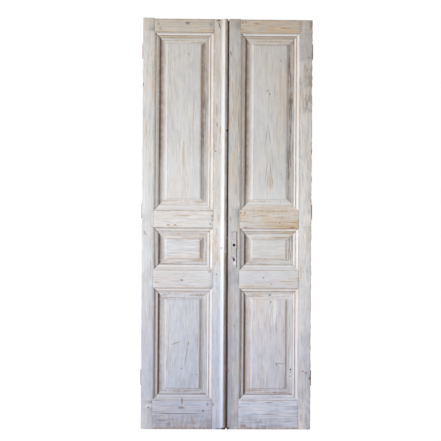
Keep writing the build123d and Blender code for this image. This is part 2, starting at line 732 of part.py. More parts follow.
def strike_pockets():
    """Holes for the latch and the dead bolt behind the strike plate."""
    x0, x1 = -STRIP_OVERHANG - POCKET_DEPTH, -STRIP_OVERHANG + OVERRUN
    cuts = []
    for z, height, thick in (
        (LATCH_Z, LATCH_HEIGHT, LATCH_THICK),
        (BOLT_Z, BOLT_HEIGHT, BOLT_THICK),
    ):
        half_z, half_y = height / 2 + STRIKE_PLAY, thick / 2 + STRIKE_PLAY
        cuts.append(block(x0, x1, Y_MID - half_y, Y_MID + half_y, z - half_z, z + half_z))
    return cuts


def strike_screw_places():
    """Places of the screws in the two ears of the strike plate."""
    inset = STRIKE_EAR / 2
    heights = (BOLT_Z - BOLT_HEIGHT / 2 - inset, LATCH_Z + LATCH_HEIGHT / 2 + inset)
    return [Pos(-STRIP_OVERHANG, Y_MID, z) * FACING_RIGHT for z in heights]


def edge_plate(z0, z1, thumb_z, upward):
    """Long cover plate of an edge bolt, slotted for its thumb piece."""
    half = EDGE_PLATE_WIDTH / 2
    x0, x1 = -STRIP_OVERHANG - EDGE_PLATE_THICK, -STRIP_OVERHANG
    plate = block(x0, x1, Y_MID - half, Y_MID + half, z0, z1)
    slot_half = THUMB_WIDTH / 2 + ROD_PLAY
    near = thumb_z - upward * (THUMB_HEIGHT / 2 + ROD_PLAY)
    far = thumb_z + upward * (THUMB_HEIGHT / 2 + ROD_PLAY + BOLT_TRAVEL)
    slot = block(x0 - OVERRUN, x1 + OVERRUN, Y_MID - slot_half, Y_MID + slot_half, near, far)
    return plate - slot - at_each(edge_bolt_screw_places(), SCREW_HOLE)


def edge_rod(thumb_z, end_z):
    """Sliding rod of an edge bolt, from below or above its thumb piece to the leaf's end."""
    upward = 1 if end_z > thumb_z else -1
    x1 = -STRIP_OVERHANG - EDGE_PLATE_THICK - ROD_PLAY
    half = ROD_SIZE / 2
    start = thumb_z - upward * ROD_TAIL
    end = end_z - upward * ROD_SETBACK
    rod = block(x1 - ROD_SIZE, x1, Y_MID - half, Y_MID + half, start, end)
    tip = -STRIP_OVERHANG + THUMB_PROUD
    foot, head = thumb_z - THUMB_HEIGHT / 2, thumb_z + THUMB_HEIGHT / 2
    return rod + block(x1, tip, Y_MID - THUMB_WIDTH / 2, Y_MID + THUMB_WIDTH / 2, foot, head)


def edge_bolt_seat(z0, z1, thumb_z, end_z):
    """Grooves in the left meeting edge for an edge bolt's plate and rod."""
    upward = 1 if end_z > thumb_z else -1
    half, rod_half = EDGE_PLATE_WIDTH / 2, ROD_SIZE / 2 + ROD_PLAY
    x_edge = -STRIP_OVERHANG
    plate = block(x_edge - EDGE_PLATE_THICK, x_edge + OVERRUN, Y_MID - half, Y_MID + half, z0, z1)
    depth = EDGE_PLATE_THICK + ROD_SIZE + ROD_PLAY + ROD_PLAY
    start = thumb_z - upward * (ROD_TAIL + ROD_PLAY)
    end = end_z + upward * OVERRUN
    groove = block(x_edge - depth, x_edge + OVERRUN, Y_MID - rod_half, Y_MID + rod_half, start, end)
    return [plate, groove]


TOP_BOLT_SPAN = (TOP_THUMB_Z - THUMB_MARGIN, LEAF_HEIGHT)
BOTTOM_BOLT_SPAN = (0, BOTTOM_THUMB_Z + THUMB_MARGIN)


def edge_bolt_screw_places():
    """Place of the screw near the inner end of each edge bolt plate."""
    inset = THUMB_MARGIN - ROD_TAIL
    heights = (TOP_BOLT_SPAN[0] + inset / 2, BOTTOM_BOLT_SPAN[1] - inset / 2)
    return [Pos(-STRIP_OVERHANG, Y_MID, z) * FACING_RIGHT for z in heights]


def left_meeting_stile():
    """Left meeting stile, with strike pockets and grooves for the edge bolts in its edge."""
    _, _, x_flat, x_edge = LEAF_LINES["left"]
    body = stile(x_edge, x_flat, LEAF_HEIGHT)
    half = STRIKE_WIDTH / 2
    foot, head = BOLT_Z - BOLT_HEIGHT / 2 - STRIKE_EAR, LATCH_Z + LATCH_HEIGHT / 2 + STRIKE_EAR
    body -= block(x_edge - STRIKE_THICK, x_edge + OVERRUN, Y_MID - half, Y_MID + half, foot, head)
    body -= strike_pockets()
    body -= edge_bolt_seat(*TOP_BOLT_SPAN, TOP_THUMB_Z, LEAF_HEIGHT)
    body -= edge_bolt_seat(*BOTTOM_BOLT_SPAN, BOTTOM_THUMB_Z, 0)
    return body - [stopped_mortise(x_flat, x_edge, name) for name in RAILS]


def right_meeting_stile():
    """Right meeting stile: bevelled leading edge, lock mortise and holes under the lock plates."""
    _, _, x_flat, x_edge = LEAF_LINES["right"]
    top = LEAF_HEIGHT + MEETING_HORN
    body = stile(x_edge, x_flat, top)
    bevel = Polyline((x_edge, Y_FACE), (x_edge, Y_BACK), (x_edge - EDGE_BEVEL, Y_BACK), close=True)
    body += extrude(make_face(bevel), amount=top)
    half = FACEPLATE_WIDTH / 2
    foot, head = CASE_FOOT - FACEPLATE_EAR, CASE_HEAD + FACEPLATE_EAR
    x0 = x_edge - EDGE_BEVEL - OVERRUN
    body -= block(x0, X_CASE, Y_MID - half, Y_MID + half, foot, head)
    half = CASE_THICK / 2 + JOINT_FIT
    x1 = X_CASE + CASE_DEPTH + JOINT_FIT
    body -= block(x0, x1, Y_MID - half, Y_MID + half, CASE_FOOT - JOINT_FIT, CASE_HEAD + JOINT_FIT)
    y0, y1 = Y_FACE - OVERRUN, Y_BACK + OVERRUN
    body -= rod_along_y(X_SPINDLE, SPINDLE_Z, STILE_HOLE_RADIUS, y0, y1)
    body -= keyhole(KEY_ROOM, y0, y1)
    return body - [stopped_mortise(x_flat, x_edge, name) for name in RAILS]


def hinge_stile(side, top):
    """Hinge stile of one leaf, with wedged mortises and hinge seats in its edge."""
    x_edge, x_flat, _, _ = LEAF_LINES[side]
    gains = hinge_gains() if side == "left" else [mirrored(gain) for gain in hinge_gains()]
    body = stile(x_edge, x_flat, top)
    return body - [wedged_mortise(x_flat, x_edge, name) for name in RAILS] - gains


def leaf_frame(side):
    """Rails, panels and wedges of one leaf, by node name."""
    lines = LEAF_LINES[side]
    gains = hinge_gains() if side == "left" else [mirrored(gain) for gain in hinge_gains()]
    nodes = {}
    for name in RAILS:
        nodes[f"{side}_{name}"] = rail(name, lines) - gains
    x0, x1 = sorted((lines[1], lines[2]))
    for name, (z0, z1) in OPENINGS.items():
        nodes[f"{side}_{name}"] = panel(x0, x1, z0, z1)
    pieces = [wedge - gains for wedge in wedges(lines[1], lines[0])]
    nodes[f"{side}_tenon_wedges"] = group(pieces)
    return nodes


def group(pieces):
    """Several loose solids under one name."""
    return Compound([solid for piece in pieces for solid in piece.solids()])


def hinge_nodes():
    """Hinge plates, screws and pins of both leaves, by node name."""
    nodes = {}
    for place, z in HINGE_HEIGHTS.items():
        for kind, piece in (("door", door_hinge_plate(z)), ("jamb", jamb_hinge_plate(z))):
            nodes[f"left_{place}_{kind}_hinge_plate"] = piece
            nodes[f"right_{place}_{kind}_hinge_plate"] = mirrored(piece)
    pins = [hinge_pin(z) for z in HINGE_HEIGHTS.values()]
    for name, pieces in (("hinge_screws", hinge_screws()), ("hinge_pins", pins)):
        nodes[f"left_{name}"] = group(pieces)
        nodes[f"right_{name}"] = group([mirrored(piece) for piece in pieces])
    return nodes


def lock_nodes():
    """Lock, lock plates and their screws, by node name."""
    return {
        "lock_case": lock_case(),
        "lock_cover": lock_cover(),
        "lock_faceplate": lock_faceplate(),
        "faceplate_screws": group(at_each(faceplate_screw_places(), SCREW)),
        "latch_bolt": latch_bolt(),
        "latch_spring": latch_spring(),
        "follower": follower(),
        "dead_bolt": dead_bolt(),
        "bolt_spring": bolt_spring(),
        "front_lock_plate": escutcheon(),
        "back_lock_plate": through_leaf(blank_escutcheon()),
        "lock_plate_screws": group(escutcheon_screws()),
    }


def meeting_nodes():
    """Strips, strike plate and edge bolts of the left leaf, by node name."""
    return {
        "cover_strip": cover_strip(),
        "rear_strip": group(rear_strip()),
        "strike_plate": strike_plate(),
        "strike_screws": group(at_each(strike_screw_places(), SCREW)),
        "top_edge_bolt_plate": edge_plate(*TOP_BOLT_SPAN, TOP_THUMB_Z, 1),
        "bottom_edge_bolt_plate": edge_plate(*BOTTOM_BOLT_SPAN, BOTTOM_THUMB_Z, -1),
        "top_edge_bolt": edge_rod(TOP_THUMB_Z, LEAF_HEIGHT),
        "bottom_edge_bolt": edge_rod(BOTTOM_THUMB_Z, 0),
        "edge_bolt_screws": group(at_each(edge_bolt_screw_places(), SCREW)),
    }


def all_nodes():
    """Every piece of the pair, by node name."""
    nodes = {
        "left_hinge_stile": hinge_stile("left", LEAF_HEIGHT + HINGE_HORN),
        "left_meeting_stile": left_meeting_stile(),
        "right_meeting_stile": right_meeting_stile(),
        "right_hinge_stile": hinge_stile("right", LEAF_HEIGHT),
    }
    nodes |= leaf_frame("left") | leaf_frame("right")
    return nodes | hinge_nodes() | lock_nodes() | meeting_nodes()


os.makedirs("parts", exist_ok=True)
for node, shape in all_nodes().items():
    export_step(shape, f"parts/{node}.step")
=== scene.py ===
"""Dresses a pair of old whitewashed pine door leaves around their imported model."""
import json
import logging
import math
from contextlib import contextmanager
from dataclasses import dataclass, field
from enum import Enum
from typing import Callable, Iterator, Union

import bpy
from mathutils import Matrix, Vector


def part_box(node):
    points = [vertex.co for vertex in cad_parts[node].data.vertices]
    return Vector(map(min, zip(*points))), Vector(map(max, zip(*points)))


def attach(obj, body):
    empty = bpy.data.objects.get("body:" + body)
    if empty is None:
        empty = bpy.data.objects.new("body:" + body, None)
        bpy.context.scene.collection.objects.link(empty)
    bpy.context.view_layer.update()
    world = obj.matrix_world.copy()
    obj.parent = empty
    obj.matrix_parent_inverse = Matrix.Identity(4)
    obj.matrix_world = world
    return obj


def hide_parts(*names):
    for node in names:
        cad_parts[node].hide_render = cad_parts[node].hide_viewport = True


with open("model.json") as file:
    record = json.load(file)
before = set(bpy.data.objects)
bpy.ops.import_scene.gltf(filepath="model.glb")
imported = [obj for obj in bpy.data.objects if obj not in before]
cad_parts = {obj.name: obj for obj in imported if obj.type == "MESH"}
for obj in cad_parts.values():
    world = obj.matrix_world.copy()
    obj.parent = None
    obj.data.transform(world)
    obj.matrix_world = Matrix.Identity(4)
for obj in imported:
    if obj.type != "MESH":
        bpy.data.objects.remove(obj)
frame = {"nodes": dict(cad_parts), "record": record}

LOG = logging.getLogger("panelled_doors")
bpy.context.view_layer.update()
NODES = frame["nodes"]
BODY_OF = {node: body for body, group in frame["record"]["behaviour"]["bodies"].items() for node in group}
SLOT_OF = {row["node"]: row["material_slot"] for row in frame["record"]["subparts"]}

Colour = tuple[float, float, float, float]
Feed = Union[float, tuple, bpy.types.NodeSocket]

# Joinery sizes that the colours follow, in metres
MOULD_RUN = 0.033
QUIRK = 0.021
TONGUE_REACH = 0.008
SIDE_RING = 0.077
END_RING = 0.0695
FACE_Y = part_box("left_bottom_rail")[0].y
LEAF_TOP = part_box("left_top_rail")[1].z

# Range in y of the zones on the front, in metres
FRONT_DEPTH = (-0.05, 0.0)

# Steps of the mesh work, in metres, degrees and segments
MERGE = 0.00002
NEAR = 0.0004
FLAT_ANGLE = 0.6
ARRIS_ANGLE = 28.0
SMOOTH_ANGLE = 40.0
ARRIS_SEGMENTS = 2
FOOT_SEGMENTS = 4
CHIP_WIDTH = 0.004
CHIP_DEPTH = 0.012

WHITE = (1.0, 1.0, 1.0, 1.0)


def linear(level: int) -> float:
    """A screen level of 0 to 255 as a scene-linear value."""
    share = level / 255
    return share / 12.92 if share <= 0.04045 else ((share + 0.055) / 1.055) ** 2.4


def paint(red: int, green: int, blue: int) -> Colour:
    """A screen colour of 0 to 255 as scene-linear values."""
    return (linear(red), linear(green), linear(blue), 1.0)


class Grain(Enum):
    """Way that a board's fibres run."""

    UPRIGHT = "upright"
    LEVEL = "level"


class Trace(Enum):
    """Kind of mark on the wood: marks that age has left, and two kinds of painted shade where holes, a notch,
    the gap between the leaves and the cover strip's foot lie in shade.
    """

    HOLE = "hole"
    KNOT = "knot"
    CRACK = "crack"
    STAIN = "stain"
    SMUDGE = "smudge"
    RED = "red"
    ORANGE = "orange"
    RUBBED = "rubbed"
    PALE = "pale"
    # The next two are painted shade: the first for the holes in the lock plate, a notch, and the strip's edge
    # and foot, the second for the gap between the leaves
    SOOT = "soot"
    DEPTH = "depth"


TRACE_COLOURS = {
    Trace.HOLE: paint(30, 27, 30),
    Trace.KNOT: paint(132, 120, 112),
    Trace.CRACK: paint(84, 68, 58),
    Trace.STAIN: paint(152, 124, 98),
    Trace.SMUDGE: paint(122, 118, 122),
    Trace.RED: paint(158, 88, 88),
    Trace.ORANGE: paint(166, 134, 106),
    Trace.RUBBED: paint(194, 172, 144),
    Trace.PALE: paint(236, 236, 236),
    # The last two are painted shade, near-black and dark brown, for holes, a notch, the strip's foot and the
    # gap between the leaves
    Trace.SOOT: paint(40, 28, 22),
    Trace.DEPTH: paint(82, 58, 44),
}


@dataclass(frozen=True)
class Mark:
    """A ragged mark on the front of a leaf, an ellipse in x and z that may be turned."""

    trace: Trace
    x: float
    z: float
    half_width: float
    half_height: float
    strength: float = 0.8
    turn: float = 0.0

    @classmethod
    def line(cls, trace: Trace, start: tuple, end: tuple, half_width: float, strength: float = 0.8) -> "Mark":
        """A thin mark from one point to another.

        Args:
            trace: Kind of mark.
            start: One end, as x and z.
            end: The other end, as x and z.
            half_width: Half its width.
            strength: How far it covers the wash.

        Returns:
            The mark.
        """
        run, rise = end[0] - start[0], end[1] - start[1]
        middle = ((start[0] + end[0]) / 2, (start[1] + end[1]) / 2)
        half = math.hypot(run, rise) / 2
        return cls(trace, *middle, half, half_width, strength, math.atan2(rise, run))


@dataclass(frozen=True)
class Zone:
    """A soft-edged box in which a colour takes over."""

    trace: Trace
    low: tuple
    high: tuple
    strength: float
    edge: float
    broken: float = 0.0

    @classmethod
    def front(
        cls, trace: Trace, across: tuple, up: tuple, strength: float, edge: float, broken: float = 0.0
    ) -> "Zone":
        """A zone on the front of the leaves.

        Args:
            trace: Kind of mark.
            across: Its ends in x.
            up: Its ends in z.
            strength: How far it covers the wash.
            edge: Softness of its edges.
            broken: Share of it that is left open in spots.

        Returns:
            The zone.
        """
        low, high = zip(across, FRONT_DEPTH, up)
        return cls(trace, low, high, strength, edge, broken)


@dataclass(frozen=True)
class PineFinish:
    """Whitewash on one board: how much is left, and how the wood shows through."""

    grain: Grain
    seed: float
    bare: float = 0.0
    ghost: float = 0.22
    tone: float = 0.55
    ring_width: float = 0.011
    heart_depth: float = 0.05
    rise: float = 0.03
    shade: Colour = WHITE


@dataclass(frozen=True)
class IronFinish:
    """Old iron: bare metal, rust and remains of paint."""

    metal: Colour
    rust: Colour
    paint: Colour
    rust_share: float
    paint_share: float
    shine: float


class Graph:
    """Adds nodes to one shader tree and links them."""

    def __init__(self, tree: bpy.types.NodeTree) -> None:
        """Takes the tree of a material or of a node group."""
        self.tree = tree

    def feed(self, socket: bpy.types.NodeSocket, value: Feed) -> None:
        """Links a socket to another one, or sets its value.

        Args:
            socket: Input to fill.
            value: Output to link to it, or the value itself.
        """
        if isinstance(value, bpy.types.NodeSocket):
            self.tree.links.new(value, socket)
        else:
            socket.default_value = value

    def add(self, kind: str, feeds: dict, **settings: object) -> bpy.types.Node:
        """Adds a node.

        Args:
            kind: Blender's name of the node type.
            feeds: Input name or number to value or socket.
            settings: Properties of the node itself.

        Returns:
            The new node.
        """
        node = self.tree.nodes.new(kind)
        for name, setting in settings.items():
            setattr(node, name, setting)
        for key, value in feeds.items():
            self.feed(node.inputs[key], value)
        return node

    def math(self, operation: str, first: Feed, second: Feed = 0.0) -> bpy.types.NodeSocket:
        """One step of arithmetic on values."""
        return self.add("ShaderNodeMath", {0: first, 1: second}, operation=operation).outputs[0]

    def total(self, *values: Feed) -> bpy.types.NodeSocket:
        """Adds several values up.

        Args:
            values: Values or sockets.

        Returns:
            Their sum.
        """
        found = values[0]
        for value in values[1:]:
            found = self.math("ADD", found, value)
        return found

    def product(self, *values: Feed) -> bpy.types.NodeSocket:
        """Multiplies several values.

        Args:
            values: Values or sockets.

        Returns:
            Their product.
        """
        found = values[0]
        for value in values[1:]:
            found = self.math("MULTIPLY", found, value)
        return found

    def inverse(self, value: Feed) -> bpy.types.NodeSocket:
        """One minus a value."""
        return self.math("SUBTRACT", 1.0, value)

    def swing(self, value: Feed, amount: float) -> bpy.types.NodeSocket:
        """A value of 0 to 1 as a swing to both sides of 0."""
        return self.product(self.math("SUBTRACT", value, 0.5), amount)

    def vector(self, operation: str, first: Feed, second: Feed) -> bpy.types.NodeSocket:
        """One step of arithmetic on vectors."""
        return self.add("ShaderNodeVectorMath", {0: first, 1: second}, operation=operation).outputs[0]

    def parts(self, vector: Feed) -> tuple:
        """The x, y and z of a vector."""
        return tuple(self.add("ShaderNodeSeparateXYZ", {0: vector}).outputs)

    def joined(self, x: Feed, y: Feed, z: Feed) -> bpy.types.NodeSocket:
        """A vector from x, y and z."""
        return self.add("ShaderNodeCombineXYZ", {0: x, 1: y, 2: z}).outputs[0]

    def length(self, vector: Feed) -> bpy.types.NodeSocket:
        """Length of a vector."""
        return self.add("ShaderNodeVectorMath", {0: vector}, operation="LENGTH").outputs["Value"]

    def span(
        self, value: Feed, low: Feed, high: Feed, start: Feed = 0.0, end: Feed = 1.0
    ) -> bpy.types.NodeSocket:
        """A smooth step from start to end while a value goes from low to high."""
        feeds = {"Value": value, "From Min": low, "From Max": high, "To Min": start, "To Max": end}
        return self.add("ShaderNodeMapRange", feeds, interpolation_type="SMOOTHSTEP").outputs[0]

    def between(self, value: Feed, low: float, high: float, edge: float) -> bpy.types.NodeSocket:
        """A mask of a range of values.

        Args:
            value: Value to look at.
            low: Start of the range.
            high: End of the range.
            edge: Half the softness at either end.

        Returns:
            1 in the range and 0 outside it.
        """
        rising = self.span(value, low - edge, low + edge)
        falling = self.span(value, high - edge, high + edge, 1.0, 0.0)
        return self.math("MULTIPLY", rising, falling)

    def band(self, value: Feed, middle: Feed, half: float) -> bpy.types.NodeSocket:
        """1 where a value is at the middle, falling to 0 at half to either side."""
        away = self.math("ABSOLUTE", self.math("SUBTRACT", value, middle))
        return self.span(away, 0.0, half, 1.0, 0.0)

    def choose(self, share: Feed, first: Feed, second: Feed) -> bpy.types.NodeSocket:
        """Two values mixed."""
        return self.add("ShaderNodeMix", {0: share, 2: first, 3: second}, data_type="FLOAT").outputs[0]

    def mix(self, share: Feed, first: Feed, second: Feed, blend: str = "MIX") -> bpy.types.NodeSocket:
        """Two colours mixed."""
        feeds = {0: share, 6: first, 7: second}
        return self.add("ShaderNodeMix", feeds, data_type="RGBA", blend_type=blend).outputs[2]

    def noise(
        self, place: Feed, stretch: tuple, detail: float = 3.0, rough: float = 0.55
    ) -> bpy.types.NodeSocket:
        """Noise on a place that is first stretched along its axes.

        Args:
            place: Vector to read it at.
            stretch: Cells to the metre along x, y and z.
            detail: Number of finer layers.
            rough: Strength of the finer layers.

        Returns:
            A value about 0.5.
        """
        stretched = self.vector("MULTIPLY", place, stretch)
        feeds = {"Vector": stretched, "Scale": 1.0, "Detail": detail, "Roughness": rough}
        return self.add("ShaderNodeTexNoise", feeds).outputs[0]

    def bump(self, strength: float, distance: float, height: Feed) -> bpy.types.NodeSocket:
        """A normal that follows a height."""
        feeds = {"Strength": strength, "Distance": distance, "Height": height}
        return self.add("ShaderNodeBump", feeds).outputs[0]


def new_material(name: str) -> tuple:
    """Makes a node material.

    Args:
        name: Name of the material.

    Returns:
        The material, the graph of its tree and its shader node.
    """
    material = bpy.data.materials.new(name)
    material.use_nodes = True
    return material, Graph(material.node_tree), material.node_tree.nodes["Principled BSDF"]


class ShaderGroup:
    """A node group with named sockets, built once."""

    def __init__(self, name: str, inputs: dict, outputs: list) -> None:
        """Makes the empty group.

        Args:
            name: Name of the group.
            inputs: Socket name to "Float" or "Vector".
            outputs: Names of its float outputs.
        """
        self.tree = bpy.data.node_groups.new(name, "ShaderNodeTree")
        for socket, kind in inputs.items():
            self.tree.interface.new_socket(name=socket, in_out="INPUT", socket_type=f"NodeSocket{kind}")
        for socket in outputs:
            self.tree.interface.new_socket(name=socket, in_out="OUTPUT", socket_type="NodeSocketFloat")
        self.graph = Graph(self.tree)
        self.entry = self.tree.nodes.new("NodeGroupInput").outputs
        self.exit = self.tree.nodes.new("NodeGroupOutput").inputs

    def give(self, socket: str, value: Feed) -> None:
        """Sends a value to one of the outputs."""
        self.graph.feed(self.exit[socket], value)

    def place(self, graph: Graph, feeds: dict) -> bpy.types.bpy_prop_collection:
        """Puts the group into a material with its own values.

        Args:
            graph: Tree of the material.
            feeds: Input name to value or socket.

        Returns:
            The outputs of the new node.
        """
        node = graph.add("ShaderNodeGroup", {}, node_tree=self.tree)
        for key, value in feeds.items():
            graph.feed(node.inputs[key], value)
        return node.outputs


def grain_group() -> ShaderGroup:
    """Growth rings, fibres, streaks and patches of a board whose heart lies along z.

    Returns:
        The group.
    """
    inputs = {"Place": "Vector"}
    inputs |= {name: "Float" for name in ("Seed", "Ring Width", "Heart Depth", "Rise")}
    group = ShaderGroup("board_grain", inputs, ["Rings", "Fibres", "Streaks", "Patches", "Drift"])
    graph, entry = group.graph, group.entry
    seed = graph.joined(entry["Seed"], graph.math("MULTIPLY", entry["Seed"], 1.7), entry["Seed"])
    place = graph.vector("ADD", entry["Place"], seed)
    x, y, z = graph.parts(entry["Place"])
    sway = graph.math("SUBTRACT", graph.noise(place, (3.0, 3.0, 1.7), 2.0), 0.5)
    across = graph.math("ADD", x, graph.math("MULTIPLY", sway, 0.09))
    lift = graph.math("ADD", graph.math("MULTIPLY", z, entry["Rise"]), entry["Heart Depth"])
    radius = graph.length(graph.joined(across, graph.math("ADD", y, lift), 0.0))
    wander = graph.math("MULTIPLY", graph.noise(place, (26.0, 26.0, 1.2), 2.0), 0.9)
    turns = graph.math("ADD", graph.math("DIVIDE", radius, entry["Ring Width"]), wander)
    group.give("Rings", graph.span(graph.math("FRACT", turns), 0.45, 0.97))
    group.give("Fibres", graph.noise(place, (175.0, 175.0, 9.0), 3.0, 0.65))
    group.give("Streaks", graph.noise(place, (85.0, 85.0, 5.0), 4.0, 0.65))
    group.give("Patches", graph.noise(place, (30.0, 30.0, 13.0), 5.0, 0.65))
    group.give("Drift", graph.noise(place, (9.0, 9.0, 2.2), 3.0, 0.6))
    return group


OPENING_OUTPUTS = ["Inset", "Left", "Right", "Top", "Foot", "Mitre", "Shoulder"]


def opening_group() -> ShaderGroup:
    """Distance into the nearest of a leaf's three openings, and which of its sides is near.

    Returns:
        The group.
    """
    inputs = {"Position": "Vector", "Middle X": "Float", "Half X": "Float"}
    for number in (1, 2, 3):
        inputs |= {f"Middle Z {number}": "Float", f"Half Z {number}": "Float"}
    group = ShaderGroup("opening_inset", inputs, OPENING_OUTPUTS)
    graph, entry = group.graph, group.entry
    x, _, z = graph.parts(entry["Position"])
    off_x = graph.math("SUBTRACT", x, entry["Middle X"])
    in_x = graph.math("SUBTRACT", entry["Half X"], graph.math("ABSOLUTE", off_x))
    in_z, off_z = None, None
    for number in (1, 2, 3):
        off = graph.math("SUBTRACT", z, entry[f"Middle Z {number}"])
        depth = graph.math("SUBTRACT", entry[f"Half Z {number}"], graph.math("ABSOLUTE", off))
        if in_z is None:
            in_z, off_z = depth, off
        else:
            off_z = graph.choose(graph.math("GREATER_THAN", depth, in_z), off_z, off)
            in_z = graph.math("MAXIMUM", in_z, depth)
    inset = graph.math("MINIMUM", in_x, in_z)
    upright = graph.math("GREATER_THAN", in_z, in_x)
    right = graph.math("GREATER_THAN", off_x, 0.0)
    top = graph.math("GREATER_THAN", off_z, 0.0)
    level = graph.inverse(upright)
    group.give("Inset", inset)
    group.give("Left", graph.product(upright, graph.inverse(right)))
    group.give("Right", graph.product(upright, right))
    group.give("Top", graph.product(level, top))
    group.give("Foot", graph.product(level, graph.inverse(top)))
    apart = graph.math("ABSOLUTE", graph.math("SUBTRACT", in_x, in_z))
    moulded = graph.between(inset, 0.001, MOULD_RUN, 0.001)
    group.give("Mitre", graph.product(graph.span(apart, 0.0012, 0.0058, 1.0, 0.0), moulded))
    beyond = graph.span(in_z, -0.003, -0.001, 1.0, 0.0)
    group.give("Shoulder", graph.product(graph.band(in_x, 0.0, 0.0032), beyond))
    return group


class MouldingWear:
    """Bare arrises, brown quirks, dirt, thick paint, painted shade and painted light that follow the moulding
    and the panel.

    Its strips, lines and fades are distances in from the edge of the opening, in metres: a strip as low,
    high and softness, a line as middle and half width, a fade as start and end.
    """

    outer_line = (0.0005, 0.0045)
    head_line = (0.0025, 0.0045)
    mitre_fade = (0.002, 0.010)
    fillet_strip = (0.004, 0.0165, 0.002)
    step_strip = (0.0058, 0.0105, 0.0015)
    hollow_strip = (0.006, 0.0175, 0.002)
    shaded_strip = (0.0085, 0.0195, 0.002)
    thread_line = (0.0145, 0.0030)
    dull_strip = (0.0185, 0.0250, 0.002)
    crest_strip = (0.0195, 0.0285, 0.0015)
    quirk_line = (QUIRK, 0.0042)
    under_line = (0.0215, 0.0052)
    bead_strip = (0.0235, 0.0295, 0.0015)
    dark_strip = (0.0310, 0.0425, 0.0025)
    panel_fade = (MOULD_RUN - 0.001, MOULD_RUN + 0.001)
    sight_line = (MOULD_RUN + 0.002, 0.006)
    slope_strip = (0.036, 0.068, 0.002)
    bevel_strip = (MOULD_RUN + 0.004, 0.066, 0.004)
    rim_strip = (0.0570, 0.0720, 0.0015)
    rim_line = (0.0740, 0.0062)
    brow_line = (0.0778, 0.0036)
    ring_half = 0.0065

    def __init__(self) -> None:
        """Opens the group and prepares what its outputs share."""
        inputs = {name: "Float" for name in OPENING_OUTPUTS}
        inputs |= {"Position": "Vector", "Rim": "Float", "Lean": "Float"}
        self.group = ShaderGroup("moulding_wear", inputs, ["Rubbed", "Brown", "White", "Deep", "ShadeAndDirt"])
        self.graph, self.entry = self.group.graph, self.group.entry
        graph, place = self.graph, self.entry["Position"]
        self.inset, self.left, self.right = (self.entry[name] for name in OPENING_OUTPUTS[:3])
        self.top, self.foot = self.entry["Top"], self.entry["Foot"]
        self.ends = graph.total(self.top, self.foot)
        self.low = graph.span(graph.parts(place)[2], 0.80, 1.25, 1.0, 0.0)
        self.high = graph.inverse(self.low)
        self.broken = graph.noise(place, (36.0, 36.0, 36.0), 4.0, 0.65)
        self.patchy = graph.noise(place, (6.0, 6.0, 6.0), 3.0)
        self.upright_streaks = graph.span(graph.noise(place, (110.0, 110.0, 7.0), 3.0, 0.6), 0.42, 0.64)
        level_streaks = graph.span(graph.noise(place, (5.0, 110.0, 110.0), 3.0, 0.6), 0.47, 0.62)
        patches = graph.span(self.broken, 0.35, 0.55, 0.4, 0.9)
        self.streaky_bevel = graph.product(self.strip(*self.bevel_strip), level_streaks, patches)
        self.rim = graph.choose(self.ends, SIDE_RING, END_RING)
        self.ring = self.line(self.rim, self.ring_half)
        self.outer = self.line(*self.outer_line)
        self.sight = self.line(*self.sight_line)
        self.bead = self.strip(*self.bead_strip)

    def strip(self, low: float, high: float, soft: float) -> bpy.types.NodeSocket:
        """1 on a strip along the opening."""
        return self.graph.between(self.inset, low, high, soft)

    def line(self, middle: Feed, half: float) -> bpy.types.NodeSocket:
        """1 on a line along the opening, falling to 0 at its sides."""
        return self.graph.band(self.inset, middle, half)

    def by_height(self, above: float, below: float) -> bpy.types.NodeSocket:
        """One value in the upper part of a leaf and another in the lower."""
        return self.graph.span(self.low, 0.0, 1.0, above, below)

    def rubbed(self) -> bpy.types.NodeSocket:
        """Wood that is rubbed bare on arrises and crests, and in streaks on the bevels.

        Returns:
            Share of bare wood.
        """
        graph = self.graph
        keep = graph.span(graph.total(self.broken, graph.product(self.patchy, 0.7)), 0.62, 0.94)
        edge = self.line(graph.total(self.rim, 0.006), 0.004)
        bare_outer = graph.product(self.outer, keep, self.by_height(0.9, 0.5))
        bare_crest = graph.product(self.bead, self.left, keep, self.high, 0.6)
        bare_edge = graph.product(edge, graph.inverse(self.ends), keep, self.high, 0.6)
        streaks = graph.total(self.streaky_bevel, graph.product(self.sight, self.top, 0.25))
        bare_ends = graph.product(self.ends, self.high, streaks)
        return graph.math("MINIMUM", graph.total(bare_outer, bare_crest, bare_edge, bare_ends), 1.0)

    def brown(self) -> bpy.types.NodeSocket:
        """Brown in the quirks, along the sight line and round the field, partly dirt and partly painted
        shade; the left-hand moulding, which faces away from the light, and the field's right edge get painted
        shade.

        Returns:
            Share of brown.
        """
        graph, rim_share = self.graph, self.entry["Rim"]
        shaded = graph.product(self.strip(*self.shaded_strip), self.by_height(0.05, 0.6))
        dull = graph.product(self.strip(*self.dull_strip), self.high, 0.36)
        on_left = graph.product(self.left, graph.total(shaded, dull))

        rim_shadow = graph.product(self.strip(*self.rim_strip), self.by_height(1.0, 0.5), rim_share)
        crisp = graph.choose(self.low, graph.total(0.25, graph.product(rim_share, 1.1)), 0.6)
        rim_edge = graph.product(self.line(*self.rim_line), crisp)
        quirk = graph.product(self.line(*self.quirk_line), 0.85)
        sides = graph.total(quirk, rim_shadow, rim_edge, graph.product(self.sight, 0.2))
        on_right = graph.product(self.right, sides)

        head = graph.product(self.line(*self.head_line), 0.6)
        under = graph.product(self.line(*self.under_line), 0.7)
        on_top = graph.product(self.top, graph.total(head, under, graph.product(self.ring, 0.2)))

        outer = graph.product(self.outer, 0.3)
        thread = graph.product(self.line(*self.thread_line), 0.5)
        sight = graph.product(self.sight, 0.6)
        foot_lines = graph.total(outer, thread, sight, graph.product(self.ring, 0.35))
        on_foot = graph.product(self.foot, foot_lines, self.by_height(0.4, 1.0))

        on_ends = graph.product(self.ends, self.low, self.streaky_bevel, 0.65)
        brown = graph.total(on_left, on_right, on_top, on_foot, on_ends)
        brown = graph.product(brown, graph.span(self.broken, 0.28, 0.56, 0.6, 1.0))
        return graph.math("MINIMUM", brown, 1.0)

